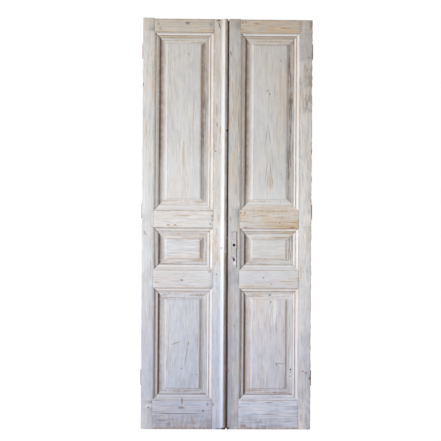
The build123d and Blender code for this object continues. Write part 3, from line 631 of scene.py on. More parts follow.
    def deep(self) -> bpy.types.NodeSocket:
        """Open mitres, open shoulders, and painted shadow in the dark line beside the left moulding.

        Returns:
            Share of dark brown.
        """
        graph = self.graph
        gaping = graph.total(self.left, graph.product(self.top, 0.7), graph.product(self.foot, 0.25))
        mitre = graph.product(self.entry["Mitre"], graph.span(self.inset, *self.mitre_fade), gaping)
        shoulder = graph.product(self.entry["Shoulder"], graph.span(self.broken, 0.3, 0.55, 0.25, 0.95))
        joints = graph.total(graph.product(mitre, 0.8), graph.product(shoulder, 0.5))
        uneven = graph.span(self.broken, 0.25, 0.5, 0.72, 0.97)
        dark = graph.product(self.strip(*self.dark_strip), self.left, uneven, self.by_height(0.86, 1.0))
        return graph.math("MAXIMUM", joints, dark)

    def shade_and_dirt(self) -> bpy.types.NodeSocket:
        """Painted shade on the upright bevels, cast by the moulding on the left side and by the raised field
        on the right, with some dirt and streaks.

        Returns:
            Share of painted shade and dirt.
        """
        graph, inset = self.graph, self.inset
        upper_shade = graph.span(inset, 0.040, 0.076, 0.78, 0.0)
        lower_shade = graph.span(inset, 0.038, 0.078, 0.46, 0.20)
        lower_shade = graph.product(lower_shade, graph.span(inset, 0.080, 0.084, 1.0, 0.0))
        from_left = graph.product(self.left, graph.choose(self.low, upper_shade, lower_shade))
        grey = graph.span(inset, 0.034, 0.060, 0.34, 0.55)
        grey = graph.product(grey, graph.span(inset, 0.064, 0.075, 1.0, 0.25))
        grey = graph.product(grey, graph.span(inset, 0.077, 0.081, 1.0, 0.0))
        grey = graph.product(grey, graph.span(self.upright_streaks, 0.0, 1.0, 0.25, 1.35))
        from_right = graph.product(self.right, grey, self.entry["Lean"], self.by_height(1.0, 0.2))
        inside = graph.span(inset, *self.panel_fade)
        uneven = graph.span(self.broken, 0.3, 0.62, 0.75, 1.15)
        return graph.math("MINIMUM", graph.product(graph.total(from_left, from_right), inside, uneven), 1.0)

    def white(self) -> bpy.types.NodeSocket:
        """White over what stands proud and in the fillets: painted highlights on the lit side and the field's
        left arris, and painted light that lifts shaded steps, crests, fillets and bevels, partly over thick
        paint.

        Returns:
            Share of white.
        """
        graph = self.graph
        plain = graph.inverse(self.entry["Rim"])
        lit = graph.total(graph.product(self.right, 0.4), graph.product(self.foot, 0.35))
        proud = graph.product(graph.total(self.strip(*self.hollow_strip), self.bead), lit)
        fillet = graph.product(self.strip(*self.fillet_strip), self.top, 0.9)
        crest = graph.product(self.strip(*self.crest_strip), self.left, self.low, 0.3)
        field_rim = graph.product(self.line(SIDE_RING, self.ring_half), self.left, 0.4)
        step = graph.product(self.strip(*self.step_strip), self.left, 0.9)
        streaks = graph.span(self.upright_streaks, 0.0, 1.0, 0.75, 0.3)
        slope = graph.product(self.strip(*self.slope_strip), self.right, self.low, plain, streaks)
        brow = graph.product(self.line(*self.brow_line), self.right, plain, 0.58)
        white = graph.total(proud, fillet, crest, field_rim, step, slope, brow)
        return graph.product(white, graph.span(self.patchy, 0.3, 0.5, 0.55, 1.0))

    def build(self) -> ShaderGroup:
        """Fills the outputs.

        Returns:
            The group.
        """
        parts = {"Rubbed": self.rubbed, "Brown": self.brown, "Deep": self.deep}
        parts |= {"ShadeAndDirt": self.shade_and_dirt, "White": self.white}
        for output, part in parts.items():
            self.group.give(output, part())
        return self.group


def mark_group() -> ShaderGroup:
    """Ragged ellipse on the front of a leaf.

    Returns:
        The group.
    """
    inputs = {"Position": "Vector"}
    inputs |= {name: "Float" for name in ("X", "Z", "Half Width", "Half Height", "Turn")}
    group = ShaderGroup("age_mark", inputs, ["Mask"])
    graph, entry = group.graph, group.entry
    x, y, z = graph.parts(entry["Position"])
    flat = graph.joined(graph.math("SUBTRACT", x, entry["X"]), 0.0, graph.math("SUBTRACT", z, entry["Z"]))
    feeds = {"Vector": flat, "Angle": entry["Turn"]}
    turned = graph.add("ShaderNodeVectorRotate", feeds, rotation_type="Y_AXIS")
    across, _, up = graph.parts(turned.outputs[0])
    wide = graph.math("DIVIDE", across, entry["Half Width"])
    high = graph.math("DIVIDE", up, entry["Half Height"])
    reach = graph.length(graph.joined(wide, 0.0, high))
    ragged = graph.math("SUBTRACT", graph.noise(entry["Position"], (130.0, 130.0, 130.0), 3.0, 0.6), 0.5)
    mask = graph.span(graph.total(reach, graph.product(ragged, 0.9)), 0.5, 1.05, 1.0, 0.0)
    group.give("Mask", graph.product(mask, graph.span(y, 0.0, 0.004, 1.0, 0.0)))
    return group


def zone_group() -> ShaderGroup:
    """Box with soft edges, broken up by noise.

    Returns:
        The group.
    """
    inputs = {"Position": "Vector", "Low": "Vector", "High": "Vector", "Edge": "Float", "Broken": "Float"}
    group = ShaderGroup("soft_zone", inputs, ["Mask"])
    graph, entry = group.graph, group.entry
    mask: Feed = 1.0
    rows = zip(graph.parts(entry["Position"]), graph.parts(entry["Low"]), graph.parts(entry["High"]))
    for value, low, high in rows:
        above = graph.math("DIVIDE", graph.math("SUBTRACT", value, low), entry["Edge"])
        below = graph.math("DIVIDE", graph.math("SUBTRACT", high, value), entry["Edge"])
        mask = graph.product(mask, graph.span(above, -1.0, 1.0), graph.span(below, -1.0, 1.0))
    spots = graph.noise(entry["Position"], (45.0, 45.0, 14.0), 4.0, 0.65)
    holes = graph.product(graph.span(spots, 0.4, 0.62, 1.0, 0.0), entry["Broken"])
    group.give("Mask", graph.product(mask, graph.inverse(holes)))
    return group


# Tints that drift over a board
COOL = (0.980, 1.0, 1.026, 1.0)
WARM = (1.020, 1.0, 0.978, 1.0)

GRAIN = grain_group()
OPENING = opening_group()
MOULDING = MouldingWear().build()
MARK = mark_group()
ZONE = zone_group()

# Colour of the wash by height, from the foot to the head
WASH = (
    (0.00, paint(178, 180, 193)),
    (0.06, paint(188, 191, 204)),
    (0.16, paint(198, 201, 213)),
    (0.27, paint(209, 210, 218)),
    (0.34, paint(212, 213, 218)),
    (0.42, paint(224, 224, 225)),
    (0.50, paint(226, 225, 224)),
    (0.60, paint(219, 218, 216)),
    (0.76, paint(215, 213, 210)),
    (0.94, paint(210, 206, 200)),
    (1.00, paint(198, 190, 180)),
)


@dataclass(frozen=True)
class LeafOpenings:
    """Openings of one leaf that its colours follow."""

    side: str
    # rim: strength of the painted shade along the field's right edge, which takes the place of painted light
    # there; lean: strength of the painted shade on the right-hand bevels
    rim: float
    lean: float

    def rectangles(self) -> list:
        """Works the openings out from the panels in the frame.

        Returns:
            Middle x, half width, middle z and half height of each opening, from the top.
        """
        grow = MOULD_RUN - TONGUE_REACH
        rows = []
        for place in ("top", "middle", "bottom"):
            low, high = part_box(f"{self.side}_{place}_panel")
            middle, half = (low + high) / 2, (high - low) / 2
            rows.append((middle.x, half.x + grow, middle.z, half.z + grow))
        return rows

    def wear(self, graph: Graph, position: Feed) -> bpy.types.bpy_prop_collection:
        """Wear of the moulding and the panel edges, with painted shade and painted light.

        Args:
            graph: Tree of the material.
            position: Object coordinates.

        Returns:
            Shares of bare wood, painted shade with some dirt, brown and paint, the brown partly painted shade
            and the paint partly painted light.
        """
        rows = self.rectangles()
        feeds = {"Position": position, "Middle X": rows[0][0], "Half X": rows[0][1]}
        for number, (_, _, middle, half) in enumerate(rows, 1):
            feeds |= {f"Middle Z {number}": middle, f"Half Z {number}": half}
        opening = OPENING.place(graph, feeds)
        feeds = {socket.name: socket for socket in opening}
        feeds |= {"Position": position, "Rim": self.rim, "Lean": self.lean}
        return MOULDING.place(graph, feeds)


class Layers:
    """Puts marks and zones over a colour."""

    def __init__(self, marks: list) -> None:
        """Takes marks and zones, lowest first."""
        self.marks = marks

    def over(self, graph: Graph, position: Feed, colour: Feed) -> Feed:
        """Lays every mark and zone over a colour.

        Args:
            graph: Tree of the material.
            position: Object coordinates.
            colour: What lies below.

        Returns:
            The colour with its marks.
        """
        for mark in self.marks:
            if isinstance(mark, Zone):
                feeds = {"Low": mark.low, "High": mark.high, "Edge": mark.edge, "Broken": mark.broken}
                mask = ZONE.place(graph, feeds | {"Position": position})["Mask"]
            else:
                feeds = {"X": mark.x, "Z": mark.z, "Turn": mark.turn}
                feeds |= {"Half Width": mark.half_width, "Half Height": mark.half_height}
                mask = MARK.place(graph, feeds | {"Position": position})["Mask"]
            colour = graph.mix(graph.product(mask, mark.strength), colour, TRACE_COLOURS[mark.trace])
        return colour


class PineMaterial:
    """Worn whitewash over pine, laid out for one board."""

    bare_pale = paint(204, 182, 154)
    bare_dark = paint(158, 128, 98)
    # Colours laid over the wash in turn: painted shade with some dirt, bare wood, white partly as painted
    # light, brown partly as painted shade, and deep brown of open joints and of a painted shadow
    worn = (
        ("ShadeAndDirt", paint(134, 118, 107)),
        ("Rubbed", paint(186, 161, 130)),
        ("White", paint(232, 231, 231)),
        ("Brown", paint(142, 113, 91)),
        ("Deep", paint(112, 88, 73)),
    )
    shine = 0.12
    bump_strength = 0.4
    bump_distance = 0.0007

    def __init__(self, name: str, finish: PineFinish, openings: LeafOpenings, marks: list) -> None:
        """Keeps what the board's own look depends on.

        Args:
            name: Name of the material.
            finish: Whitewash of the board.
            openings: Openings of its leaf.
            marks: Marks and zones on it, lowest first.
        """
        self.name = name
        self.finish = finish
        self.openings = openings
        self.layers = Layers(marks)

    def grain_place(self, graph: Graph, position: Feed, node: str) -> bpy.types.NodeSocket:
        """Turns the coordinates so that z runs along the fibres.

        Args:
            graph: Tree of the material.
            position: Object coordinates.
            node: CAD node that the board stands for.

        Returns:
            Coordinates centred on the board.
        """
        low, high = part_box(node)
        middle = (low + high) / 2
        if self.finish.grain is Grain.UPRIGHT:
            turn, shift = (0.0, 0.0, 0.0), (-middle.x, -middle.y, -middle.z)
        else:
            turn, shift = (0.0, math.pi / 2, 0.0), (-middle.z, -middle.y, middle.x)
        feeds = {"Vector": position, "Location": shift, "Rotation": turn}
        return graph.add("ShaderNodeMapping", feeds, vector_type="POINT").outputs[0]

    def build(self, node: str) -> bpy.types.Material:
        """Builds the node material.

        Args:
            node: CAD node that the board stands for.

        Returns:
            The material.
        """
        material, graph, shader = new_material(self.name)
        position = graph.add("ShaderNodeTexCoord", {}).outputs["Object"]
        finish = self.finish
        feeds = {"Place": self.grain_place(graph, position, node), "Seed": finish.seed}
        feeds |= {"Ring Width": finish.ring_width, "Heart Depth": finish.heart_depth, "Rise": finish.rise}
        grain = GRAIN.place(graph, feeds)
        wear = self.openings.wear(graph, position)
        colour, missing = self.coat(graph, position, grain)
        for layer, paint_over in self.worn:
            colour = graph.mix(wear[layer], colour, paint_over)
        colour = self.layers.over(graph, position, colour)
        graph.feed(shader.inputs["Base Color"], colour)
        graph.feed(shader.inputs["Roughness"], graph.span(missing, 0.0, 0.8, 0.84, 0.62))
        height = graph.total(graph.product(missing, -0.8), graph.product(grain["Fibres"], 0.6))
        height = graph.total(height, graph.swing(grain["Rings"], 0.3))
        graph.feed(shader.inputs["Normal"], graph.bump(self.bump_strength, self.bump_distance, height))
        shader.inputs["Specular IOR Level"].default_value = self.shine
        return material

    def coat(self, graph: Graph, position: Feed, grain: bpy.types.bpy_prop_collection) -> tuple:
        """Whitewash, and the wood that shows where it is thin.

        Args:
            graph: Tree of the material.
            position: Object coordinates.
            grain: Outputs of the board's grain.

        Returns:
            The colour, and the share of wash that is missing.
        """
        finish = self.finish
        late = graph.product(grain["Rings"], graph.span(grain["Fibres"], 0.25, 0.7))
        bare = graph.mix(late, self.bare_pale, self.bare_dark)
        streaky = graph.span(grain["Drift"], 0.38, 0.62, 0.35, 1.0)
        fibres = graph.swing(grain["Fibres"], finish.tone * 1.8)
        lines = graph.product(graph.total(fibres, graph.swing(grain["Streaks"], finish.tone)), streaky)
        tone = graph.total(1.0, lines, graph.swing(grain["Patches"], finish.tone * 0.8))
        feeds = {"Value": tone, "Color": self.wash(graph, position)}
        wash = graph.add("ShaderNodeHueSaturation", feeds).outputs[0]
        tint = graph.mix(graph.span(grain["Drift"], 0.32, 0.68), COOL, WARM)
        wash = graph.mix(1.0, wash, tint, "MULTIPLY")
        thin = graph.total(grain["Streaks"], graph.swing(grain["Patches"], 0.5))
        thin = graph.total(thin, graph.swing(grain["Fibres"], 0.5), finish.bare)
        thin = graph.total(thin, graph.swing(grain["Drift"], 0.7))
        dusted = graph.span(graph.parts(position)[2], 0.2, 0.95, 0.5, 1.0)
        missing = graph.product(graph.span(thin, 0.49, 0.80, 0.0, 0.95), dusted)
        ghost = graph.product(late, finish.ghost, graph.span(grain["Patches"], 0.35, 0.65, 0.3, 1.0))
        missing = graph.math("MAXIMUM", missing, ghost)
        return graph.mix(missing, wash, bare), missing

    def wash(self, graph: Graph, position: Feed) -> Feed:
        """Whitewash by height: warmer and darker towards the head, cooler and darker towards the foot.

        Args:
            graph: Tree of the material.
            position: Object coordinates.

        Returns:
            Its colour.
        """
        share = graph.math("DIVIDE", graph.parts(position)[2], LEAF_TOP)
        ramp = graph.add("ShaderNodeValToRGB", {0: share})
        stops = ramp.color_ramp.elements
        while len(stops) < len(WASH):
            stops.new(0.5)
        for stop, (place, colour) in zip(stops, WASH):
            stop.position = place
            stop.color = colour
        return graph.mix(1.0, ramp.outputs[0], self.finish.shade, "MULTIPLY")


class IronMaterial:
    """Iron with rust and remains of paint."""

    speck = paint(70, 52, 44)
    metal_share = 0.85
    bump_strength = 0.5
    bump_distance = 0.0004

    def __init__(self, name: str, finish: IronFinish, marks: list) -> None:
        """Keeps the finish and what lies over it.

        Args:
            name: Name of the material.
            finish: Metal, rust and paint.
            marks: Marks and zones on it, lowest first.
        """
        self.name = name
        self.finish = finish
        self.layers = Layers(marks)

    def build(self) -> bpy.types.Material:
        """Builds the node material.

        Returns:
            The material.
        """
        material, graph, shader = new_material(self.name)
        position = graph.add("ShaderNodeTexCoord", {}).outputs["Object"]
        blotch = graph.noise(position, (70.0, 70.0, 70.0), 5.0, 0.65)
        specks = graph.noise(position, (420.0, 420.0, 420.0), 3.0, 0.6)
        chips = graph.noise(position, (110.0, 110.0, 60.0), 4.0, 0.7)
        finish = self.finish
        rusty = graph.span(blotch, 0.72 - finish.rust_share * 0.5, 0.82 - finish.rust_share * 0.5)
        painted = graph.span(chips, 0.74 - finish.paint_share * 0.5, 0.78 - finish.paint_share * 0.5)
        colour = graph.mix(rusty, finish.metal, finish.rust)
        colour = graph.mix(graph.span(specks, 0.35, 0.7, 0.0, 0.5), colour, self.speck, "MULTIPLY")
        tinted = graph.mix(graph.span(blotch, 0.3, 0.7, 0.0, 0.25), finish.paint, finish.rust, "MULTIPLY")
        colour = graph.mix(painted, colour, tinted)
        colour = self.layers.over(graph, position, colour)
        graph.feed(shader.inputs["Base Color"], colour)
        bare = graph.inverse(graph.math("MAXIMUM", rusty, painted))
        graph.feed(shader.inputs["Metallic"], graph.product(bare, self.metal_share))
        graph.feed(shader.inputs["Roughness"], graph.span(bare, 0.0, 1.0, 0.8, finish.shine))
        height = graph.total(graph.product(specks, 0.4), painted)
        graph.feed(shader.inputs["Normal"], graph.bump(self.bump_strength, self.bump_distance, height))
        return material


def pick(piece: bpy.types.Object) -> None:
    """Makes one object the active one and the only one selected.

    Args:
        piece: Object to pick.
    """
    bpy.ops.object.select_all(action="DESELECT")
    bpy.context.view_layer.objects.active = piece
    piece.select_set(True)


def cover(piece: bpy.types.Object, material: bpy.types.Material) -> None:
    """Gives an object one material and no other."""
    piece.data.materials.clear()
    piece.data.materials.append(material)


@contextmanager
def editing(piece: bpy.types.Object) -> Iterator[None]:
    """Opens one piece in edit mode, with nothing else selected.

    Args:
        piece: Object to edit.

    Yields:
        Nothing; edit mode closes afterwards.
    """
    pick(piece)
    bpy.ops.object.mode_set(mode="EDIT")
    yield
    bpy.ops.object.mode_set(mode="OBJECT")


def select_where(piece: bpy.types.Object, wanted: Callable[[Vector], bool]) -> None:
    """Selects the corners of a mesh that a test picks, before edit mode opens.

    Args:
        piece: Object to look at.
        wanted: Test on a corner's place.
    """
    mesh = piece.data
    for group in (mesh.vertices, mesh.edges, mesh.polygons):
        for item in group:
            item.select = False
    for corner in mesh.vertices:
        corner.select = wanted(corner.co)


def apply_modifier(piece: bpy.types.Object, kind: str, **settings: object) -> None:
    """Adds a modifier and applies it.

    Args:
        piece: Object to change.
        kind: Blender's name of the modifier type.
        settings: Properties of the modifier.
    """
    modifier = piece.modifiers.new(kind.lower(), kind)
    for name, setting in settings.items():
        setattr(modifier, name, setting)
    bpy.context.view_layer.objects.active = piece
    bpy.ops.object.modifier_apply(modifier=modifier.name)


def clouds(
    name: str, size: float, depth: int = 2, contrast: float = 1.0, level: float = 1.0
) -> bpy.types.Texture:
    """A noise texture, made once for each name.

    Args:
        name: Name of the texture.
        size: Size of its spots.
        depth: Number of finer layers.
        contrast: Its contrast.
        level: Its brightness.

    Returns:
        The texture.
    """
    texture = bpy.data.textures.get(name)
    if texture is None:
        texture = bpy.data.textures.new(name, "CLOUDS")
        texture.noise_scale = size
        texture.noise_depth = depth
        texture.contrast = contrast
        texture.intensity = level
    return texture


def copy_of(node: str, name: str) -> bpy.types.Object:
    """A new piece that starts from a CAD node's mesh, merged and with its flat faces whole.

    Args:
        node: CAD node to start from.
        name: Name of the new piece.

    Returns:
        The new object, linked to the scene.
    """
    piece = bpy.data.objects.new(name, NODES[node].data.copy())
    bpy.context.scene.collection.objects.link(piece)
    with editing(piece):
        bpy.ops.mesh.select_all(action="SELECT")
        bpy.ops.mesh.remove_doubles(threshold=MERGE)
        bpy.ops.mesh.dissolve_limited(angle_limit=math.radians(FLAT_ANGLE))
    return piece


def shade(piece: bpy.types.Object) -> None:
    """Smooth shading that keeps the piece's edges."""
    pick(piece)
    bpy.ops.object.shade_smooth_by_angle(angle=math.radians(SMOOTH_ANGLE))


def round_arrises(piece: bpy.types.Object, width: float) -> None:
    """Rounds every sharp edge a little.

    Args:
        piece: Object to change.
        width: Width of the rounding.
    """
    apply_modifier(
        piece,
        "BEVEL",
        width=width,
        segments=ARRIS_SEGMENTS,
        limit_method="ANGLE",
        angle_limit=math.radians(ARRIS_ANGLE),
        use_clamp_overlap=True,
    )


def take_place(piece: bpy.types.Object, node: str, material: bpy.types.Material) -> None:
    """Lets a new piece stand for its CAD node.

    Args:
        piece: New object.
        node: CAD node that it stands for.
        material: Its own material.
    """
    cover(piece, material)
    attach(piece, BODY_OF[node])
    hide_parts(node)
    LOG.info("%s stands for %s on %s", piece.name, node, BODY_OF[node])


@dataclass
class Board:
    """One wooden member, with rounded arrises and an uneven surface."""

    node: str
    openings: LeafOpenings
    finish: PineFinish
    marks: list = field(default_factory=list)
    arris: float = 0.0011
    slice_length: float = 0.045
    unevenness: float = 0.0011
    foot_corner: float = 0.0
    ragged: float = 0.0
    break_ends: tuple = ()
    foot_reach: float = 0.0
    side_reach: float = 0.0

    def build(self) -> bpy.types.Object:
        """Models the member from its solid.

        Returns:
            The new object.
        """
        piece = copy_of(self.node, f"{self.node}_wood")
        if self.foot_corner:
            self.round_foot(piece)
        if self.break_ends:
            self.narrow_break(piece)
        if self.foot_reach:
            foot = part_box(self.node)[0].z
            self.move_end(piece, foot, foot - self.foot_reach)
        if self.side_reach:
            self.widen(piece)
        round_arrises(piece, self.arris)
        self.slice(piece)
        texture = clouds("hand_planed", 0.11)
        apply_modifier(piece, "DISPLACE", texture=texture, strength=self.unevenness, mid_level=0.5)
        if self.ragged:
            self.fray(piece)
        shade(piece)
        return piece

    def outer_x(self) -> float:
        """The leaf's outer side, in x."""
        low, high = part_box(self.node)
        return low.x if abs(low.x) > abs(high.x) else high.x

    def round_foot(self, piece: bpy.types.Object) -> None:
        """Wears the outer corner at the foot round.

        Args:
            piece: Object to change.
        """
        side = self.outer_x()
        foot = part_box(self.node)[0].z
        select_where(piece, lambda place: abs(place.x - side) < NEAR and abs(place.z - foot) < NEAR)
        with editing(piece):
            bpy.ops.mesh.bevel(
                offset=self.foot_corner, segments=FOOT_SEGMENTS, affect="EDGES", clamp_overlap=False
            )

    def narrow_break(self, piece: bpy.types.Object) -> None:
        """Brings the two lengths of a strip nearer to the latch that swings through between them.

        Args:
            piece: Object to change.
        """
        heights = [corner.co.z for corner in piece.data.vertices]
        middle = sum(self.break_ends) / 2
        lower, upper = max(z for z in heights if z < middle), min(z for z in heights if z > middle)
        for end, goal in zip((lower, upper), self.break_ends):
            self.move_end(piece, end, goal)

    @staticmethod
    def move_end(piece: bpy.types.Object, end: float, goal: float) -> None:
        """Moves the end of a length from one height to another.

        Args:
            piece: Object to change.
            end: Height of the end.
            goal: Height that it gets.
        """
        select_where(piece, lambda place: abs(place.z - end) < NEAR)
        with editing(piece):
            bpy.ops.transform.translate(value=(0.0, 0.0, goal - end))

    def widen(self, piece: bpy.types.Object) -> None:
        """Brings the right side of a strip nearer to the other leaf.

        Args:
            piece: Object to change.
        """
        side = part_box(self.node)[1].x
        select_where(piece, lambda place: abs(place.x - side) < NEAR)
        with editing(piece):
            bpy.ops.transform.translate(value=(self.side_reach, 0.0, 0.0))

    def fray(self, piece: bpy.types.Object) -> None:
        """Chips the front arris along the leaf's outer side.

        Args:
            piece: Object to change.
        """
        side = self.outer_x()
        group = piece.vertex_groups.new(name="outer_arris")
        near = [
            corner.index
            for corner in piece.data.vertices
            if abs(corner.co.x - side) < CHIP_WIDTH and corner.co.y < FACE_Y + CHIP_DEPTH
        ]
        group.add(near, 1.0, "REPLACE")
        apply_modifier(
            piece,
            "DISPLACE",
            texture=clouds("chipped", 0.035, depth=3, contrast=2.2, level=0.72),
            strength=-self.ragged if side > 0 else self.ragged,
            mid_level=0.0,
            direction="X",
            vertex_group=group.name,
        )

    def slice(self, piece: bpy.types.Object) -> None:
        """Cuts the long faces into short lengths across the grain, so that they can be uneven.

        Args:
            piece: Object to cut.
        """
        low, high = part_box(self.node)
        upright = self.finish.grain is Grain.UPRIGHT
        start, end = (low.z, high.z) if upright else (low.x, high.x)
        normal = (0.0, 0.0, 1.0) if upright else (1.0, 0.0, 0.0)
        count = max(2, round((end - start) / self.slice_length))
        with editing(piece):
            for step in range(1, count):
                place = start + (end - start) * step / count
                bpy.ops.mesh.select_all(action="SELECT")
                bpy.ops.mesh.bisect(plane_co=tuple(place * axis for axis in normal), plane_no=normal)

    def dress(self, piece: bpy.types.Object) -> None:
        """Gives the member its own whitewash."""
        material = PineMaterial(f"{self.node}_wash", self.finish, self.openings, self.marks).build(self.node)
        take_place(piece, self.node, material)


@dataclass
class Leaf:
    """Boards of one leaf."""

    openings: LeafOpenings
    finishes: dict
    marks: dict
    shapes: dict

    def build(self) -> None:
        """Models and dresses every board of the leaf."""
        side = self.openings.side
        for name, finish in self.finishes.items():
            node = f"{side}_{name}" if f"{side}_{name}" in NODES else name
            board = Board(node, self.openings, finish, self.marks.get(name, []), **self.shapes.get(name, {}))
            board.dress(board.build())
        self.dress_wedges()

    def dress_wedges(self) -> None:
        """Gives the tenon wedges, which keep their solids, bare end grain."""
        node = f"{self.openings.side}_tenon_wedges"
        material = PineMaterial(f"{node}_bare", WEDGE_FINISH, self.openings, []).build(node)
        cover(NODES[node], material)
        LOG.info("%s dressed as %s", node, material.name)


@dataclass
class Ironwork:
    """Hinges, lock and bolts, which keep their solids."""

    finishes: dict
    marks: dict

    def dress(self) -> None:
        """Gives each iron node its finish."""
        made = {}
        for slot, finish in self.finishes.items():
            made[slot] = IronMaterial(f"{slot}_old", finish, self.marks.get(slot, [])).build()
        for node, slot in SLOT_OF.items():
            own = f"{node.split('_')[0]}_{slot}"
            material = made.get(own, made.get(slot))
            if material:
                cover(NODES[node], material)
                LOG.info("%s dressed as %s", node, material.name)


@dataclass
class Studio:
    """Floor, light and camera."""

    view_width: float = 2.646
    aim: Vector = field(default_factory=lambda: Vector((-0.038, FACE_Y, 1.253)))
    distance: float = 5.5
    yaw: float = 1.0
    roll: float = 0.38
    sensor: float = 36.0
    key_turn: float = 45.0
    key_lift: float = 12.0
    key_strength: float = 2.54
    light_softness: float = 24.0
    fill_turn: float = 155.0
    fill_lift: float = 20.0
    fill_strength: float = 1.5
    sky: float = 0.28
    floor_half: float = 8.0
    floor_colour: Colour = (0.9, 0.9, 0.9, 1.0)
    floor_shade: float = 0.10
    floor_glow: float = 1.07

    def build(self) -> None:
        """Sets up the whole studio."""
        self.place_camera()
        self.hang_light("key_light", self.key_turn, self.key_lift, self.key_strength)
        self.hang_light("back_fill", self.fill_turn, self.fill_lift, self.fill_strength)
        self.paint_sky()
        self.lay_floor()
        bpy.context.scene.view_settings.view_transform = "Standard"

    def place_camera(self) -> None:
        """Far, level camera, a little to the left and rolled."""
        bpy.ops.object.camera_add()
        camera = bpy.context.object
        camera.name = "camera"
        turn = math.radians(self.yaw)
        back = Vector((-math.sin(turn), -math.cos(turn), 0.0))
        look = (-back).to_track_quat("-Z", "Y").to_matrix()
        camera.matrix_world = Matrix.Translation(self.aim + back * self.distance) @ (
            look @ Matrix.Rotation(math.radians(self.roll), 3, "Z")
        ).to_4x4()
        camera.data.sensor_width = self.sensor
        camera.data.lens = self.sensor * self.distance / self.view_width
        bpy.context.scene.camera = camera

    def hang_light(self, name: str, turn_to_left: float, lift_up: float, strength: float) -> None:
        """Hangs one soft, far light.

        Args:
            name: Name of the light.
            turn_to_left: Degrees round from the front to the left.
            lift_up: Degrees above level.
            strength: Energy of the light.
        """
        bpy.ops.object.light_add(type="SUN")
        light = bpy.context.object
        light.name = name
        turn, lift = math.radians(turn_to_left), math.radians(lift_up)
        towards = Vector((-math.sin(turn) * math.cos(lift), -math.cos(turn) * math.cos(lift), math.sin(lift)))
        light.rotation_euler = (-towards).to_track_quat("-Z", "Y").to_euler()
        light.data.energy = strength
        light.data.angle = math.radians(self.light_softness)

    def paint_sky(self) -> None:
        """White to the camera and in reflections, a dim even sky for the light."""
        world = bpy.data.worlds.new("studio")
        bpy.context.scene.world = world
        world.use_nodes = True
        graph = Graph(world.node_tree)
        background = world.node_tree.nodes["Background"]
        background.inputs["Color"].default_value = WHITE
        seen = self.seen(graph)
        graph.feed(background.inputs["Strength"], graph.span(seen, 0.0, 1.0, self.sky, 1.0))

    @staticmethod
    def seen(graph: Graph) -> bpy.types.NodeSocket:
        """Finds the rays that come from the camera, a reflection or glass.

        Args:
            graph: Tree of the world or of a material.

        Returns:
            1 on those rays and 0 on others.
        """
        rays = graph.add("ShaderNodeLightPath", {}).outputs
        found = graph.math("MAXIMUM", rays["Is Camera Ray"], rays["Is Glossy Ray"])
        return graph.math("MAXIMUM", found, rays["Is Transmission Ray"])

    def lay_floor(self) -> None:
        """Pale floor that shows white and keeps a faint shadow."""
        bpy.ops.object.select_all(action="DESELECT")
        bpy.ops.mesh.primitive_plane_add(size=2 * self.floor_half)
        floor = bpy.context.object
        floor.name = "floor"
        material, graph, shader = new_material("floor_white")
        shader.inputs["Base Color"].default_value = self.floor_colour
        shader.inputs["Roughness"].default_value = 1.0
        shader.inputs["Specular IOR Level"].default_value = 0.0
        glow = graph.add("ShaderNodeEmission", {"Color": WHITE, "Strength": self.floor_glow})
        share = graph.product(self.seen(graph), 1.0 - self.floor_shade)
        both = graph.add("ShaderNodeMixShader", {0: share, 1: shader.outputs[0], 2: glow.outputs[0]})
        graph.feed(material.node_tree.nodes["Material Output"].inputs["Surface"], both.outputs[0])
        floor.data.materials.append(material)


UP, ACROSS = Grain.UPRIGHT, Grain.LEVEL

LEFT_OPENINGS = LeafOpenings("left", rim=0.5, lean=0.9)
RIGHT_OPENINGS = LeafOpenings("right", rim=0.05, lean=1.4)

WEDGE_FINISH = PineFinish(ACROSS, 21.3, bare=0.5)
LEFT_FINISHES = {
    "hinge_stile": PineFinish(UP, 1.1, bare=-0.06, shade=(1.02, 1.04, 1.07, 1.0)),
    "meeting_stile": PineFinish(UP, 2.3, bare=-0.02, tone=0.65, shade=(1.04, 1.05, 1.07, 1.0)),
    "top_rail": PineFinish(ACROSS, 3.2, bare=0.04, tone=0.7, shade=(0.99, 0.965, 0.93, 1.0)),
    "frieze_rail": PineFinish(ACROSS, 4.7, bare=-0.03, shade=(1.05, 1.05, 1.06, 1.0)),
    "lock_rail": PineFinish(ACROSS, 5.1, bare=-0.05, shade=(1.07, 1.06, 1.06, 1.0)),
    "bottom_rail": PineFinish(ACROSS, 6.4, bare=0.0, tone=0.75, shade=(1.02, 1.01, 1.04, 1.0)),
    "top_panel": PineFinish(UP, 7.9, bare=-0.1, shade=(1.04, 1.04, 1.05, 1.0)),
    "middle_panel": PineFinish(ACROSS, 8.2, bare=-0.06, tone=0.75, shade=(1.0, 1.0, 1.025, 1.0)),
    "bottom_panel": PineFinish(UP, 9.6, bare=-0.1, tone=0.7),
    # The cover strip's wash is set brighter than the other boards: painted light on the strip that stands
    # proud
    "cover_strip": PineFinish(UP, 10.5, bare=-0.1, tone=0.25, shade=(1.16, 1.19, 1.22, 1.0)),
    "rear_strip": PineFinish(UP, 11.3),
}
RIGHT_FINISHES = {
    "hinge_stile": PineFinish(UP, 12.8, bare=-0.02, tone=0.9, shade=(1.0, 0.985, 0.98, 1.0)),
    "meeting_stile": PineFinish(UP, 13.4, bare=-0.04, tone=0.8, shade=(0.81, 0.81, 0.82, 1.0)),
    "top_rail": PineFinish(ACROSS, 14.9, bare=0.08, tone=0.8, shade=(0.88, 0.84, 0.80, 1.0)),
    "frieze_rail": PineFinish(ACROSS, 15.2, bare=0.16, shade=(0.92, 0.875, 0.835, 1.0)),
    "lock_rail": PineFinish(ACROSS, 16.6, bare=0.0, shade=(1.0, 0.98, 0.97, 1.0)),
    "bottom_rail": PineFinish(ACROSS, 17.3, bare=-0.06, tone=0.9, shade=(1.11, 1.13, 1.18, 1.0)),
    "top_panel": PineFinish(UP, 18.1, bare=-0.08, ghost=0.34, shade=(0.915, 0.915, 0.92, 1.0)),
    "middle_panel": PineFinish(ACROSS, 19.7, bare=-0.04, shade=(0.94, 0.93, 0.92, 1.0)),
    "bottom_panel": PineFinish(UP, 20.4, bare=-0.06, tone=0.7, shade=(1.04, 1.0, 0.97, 1.0)),
}

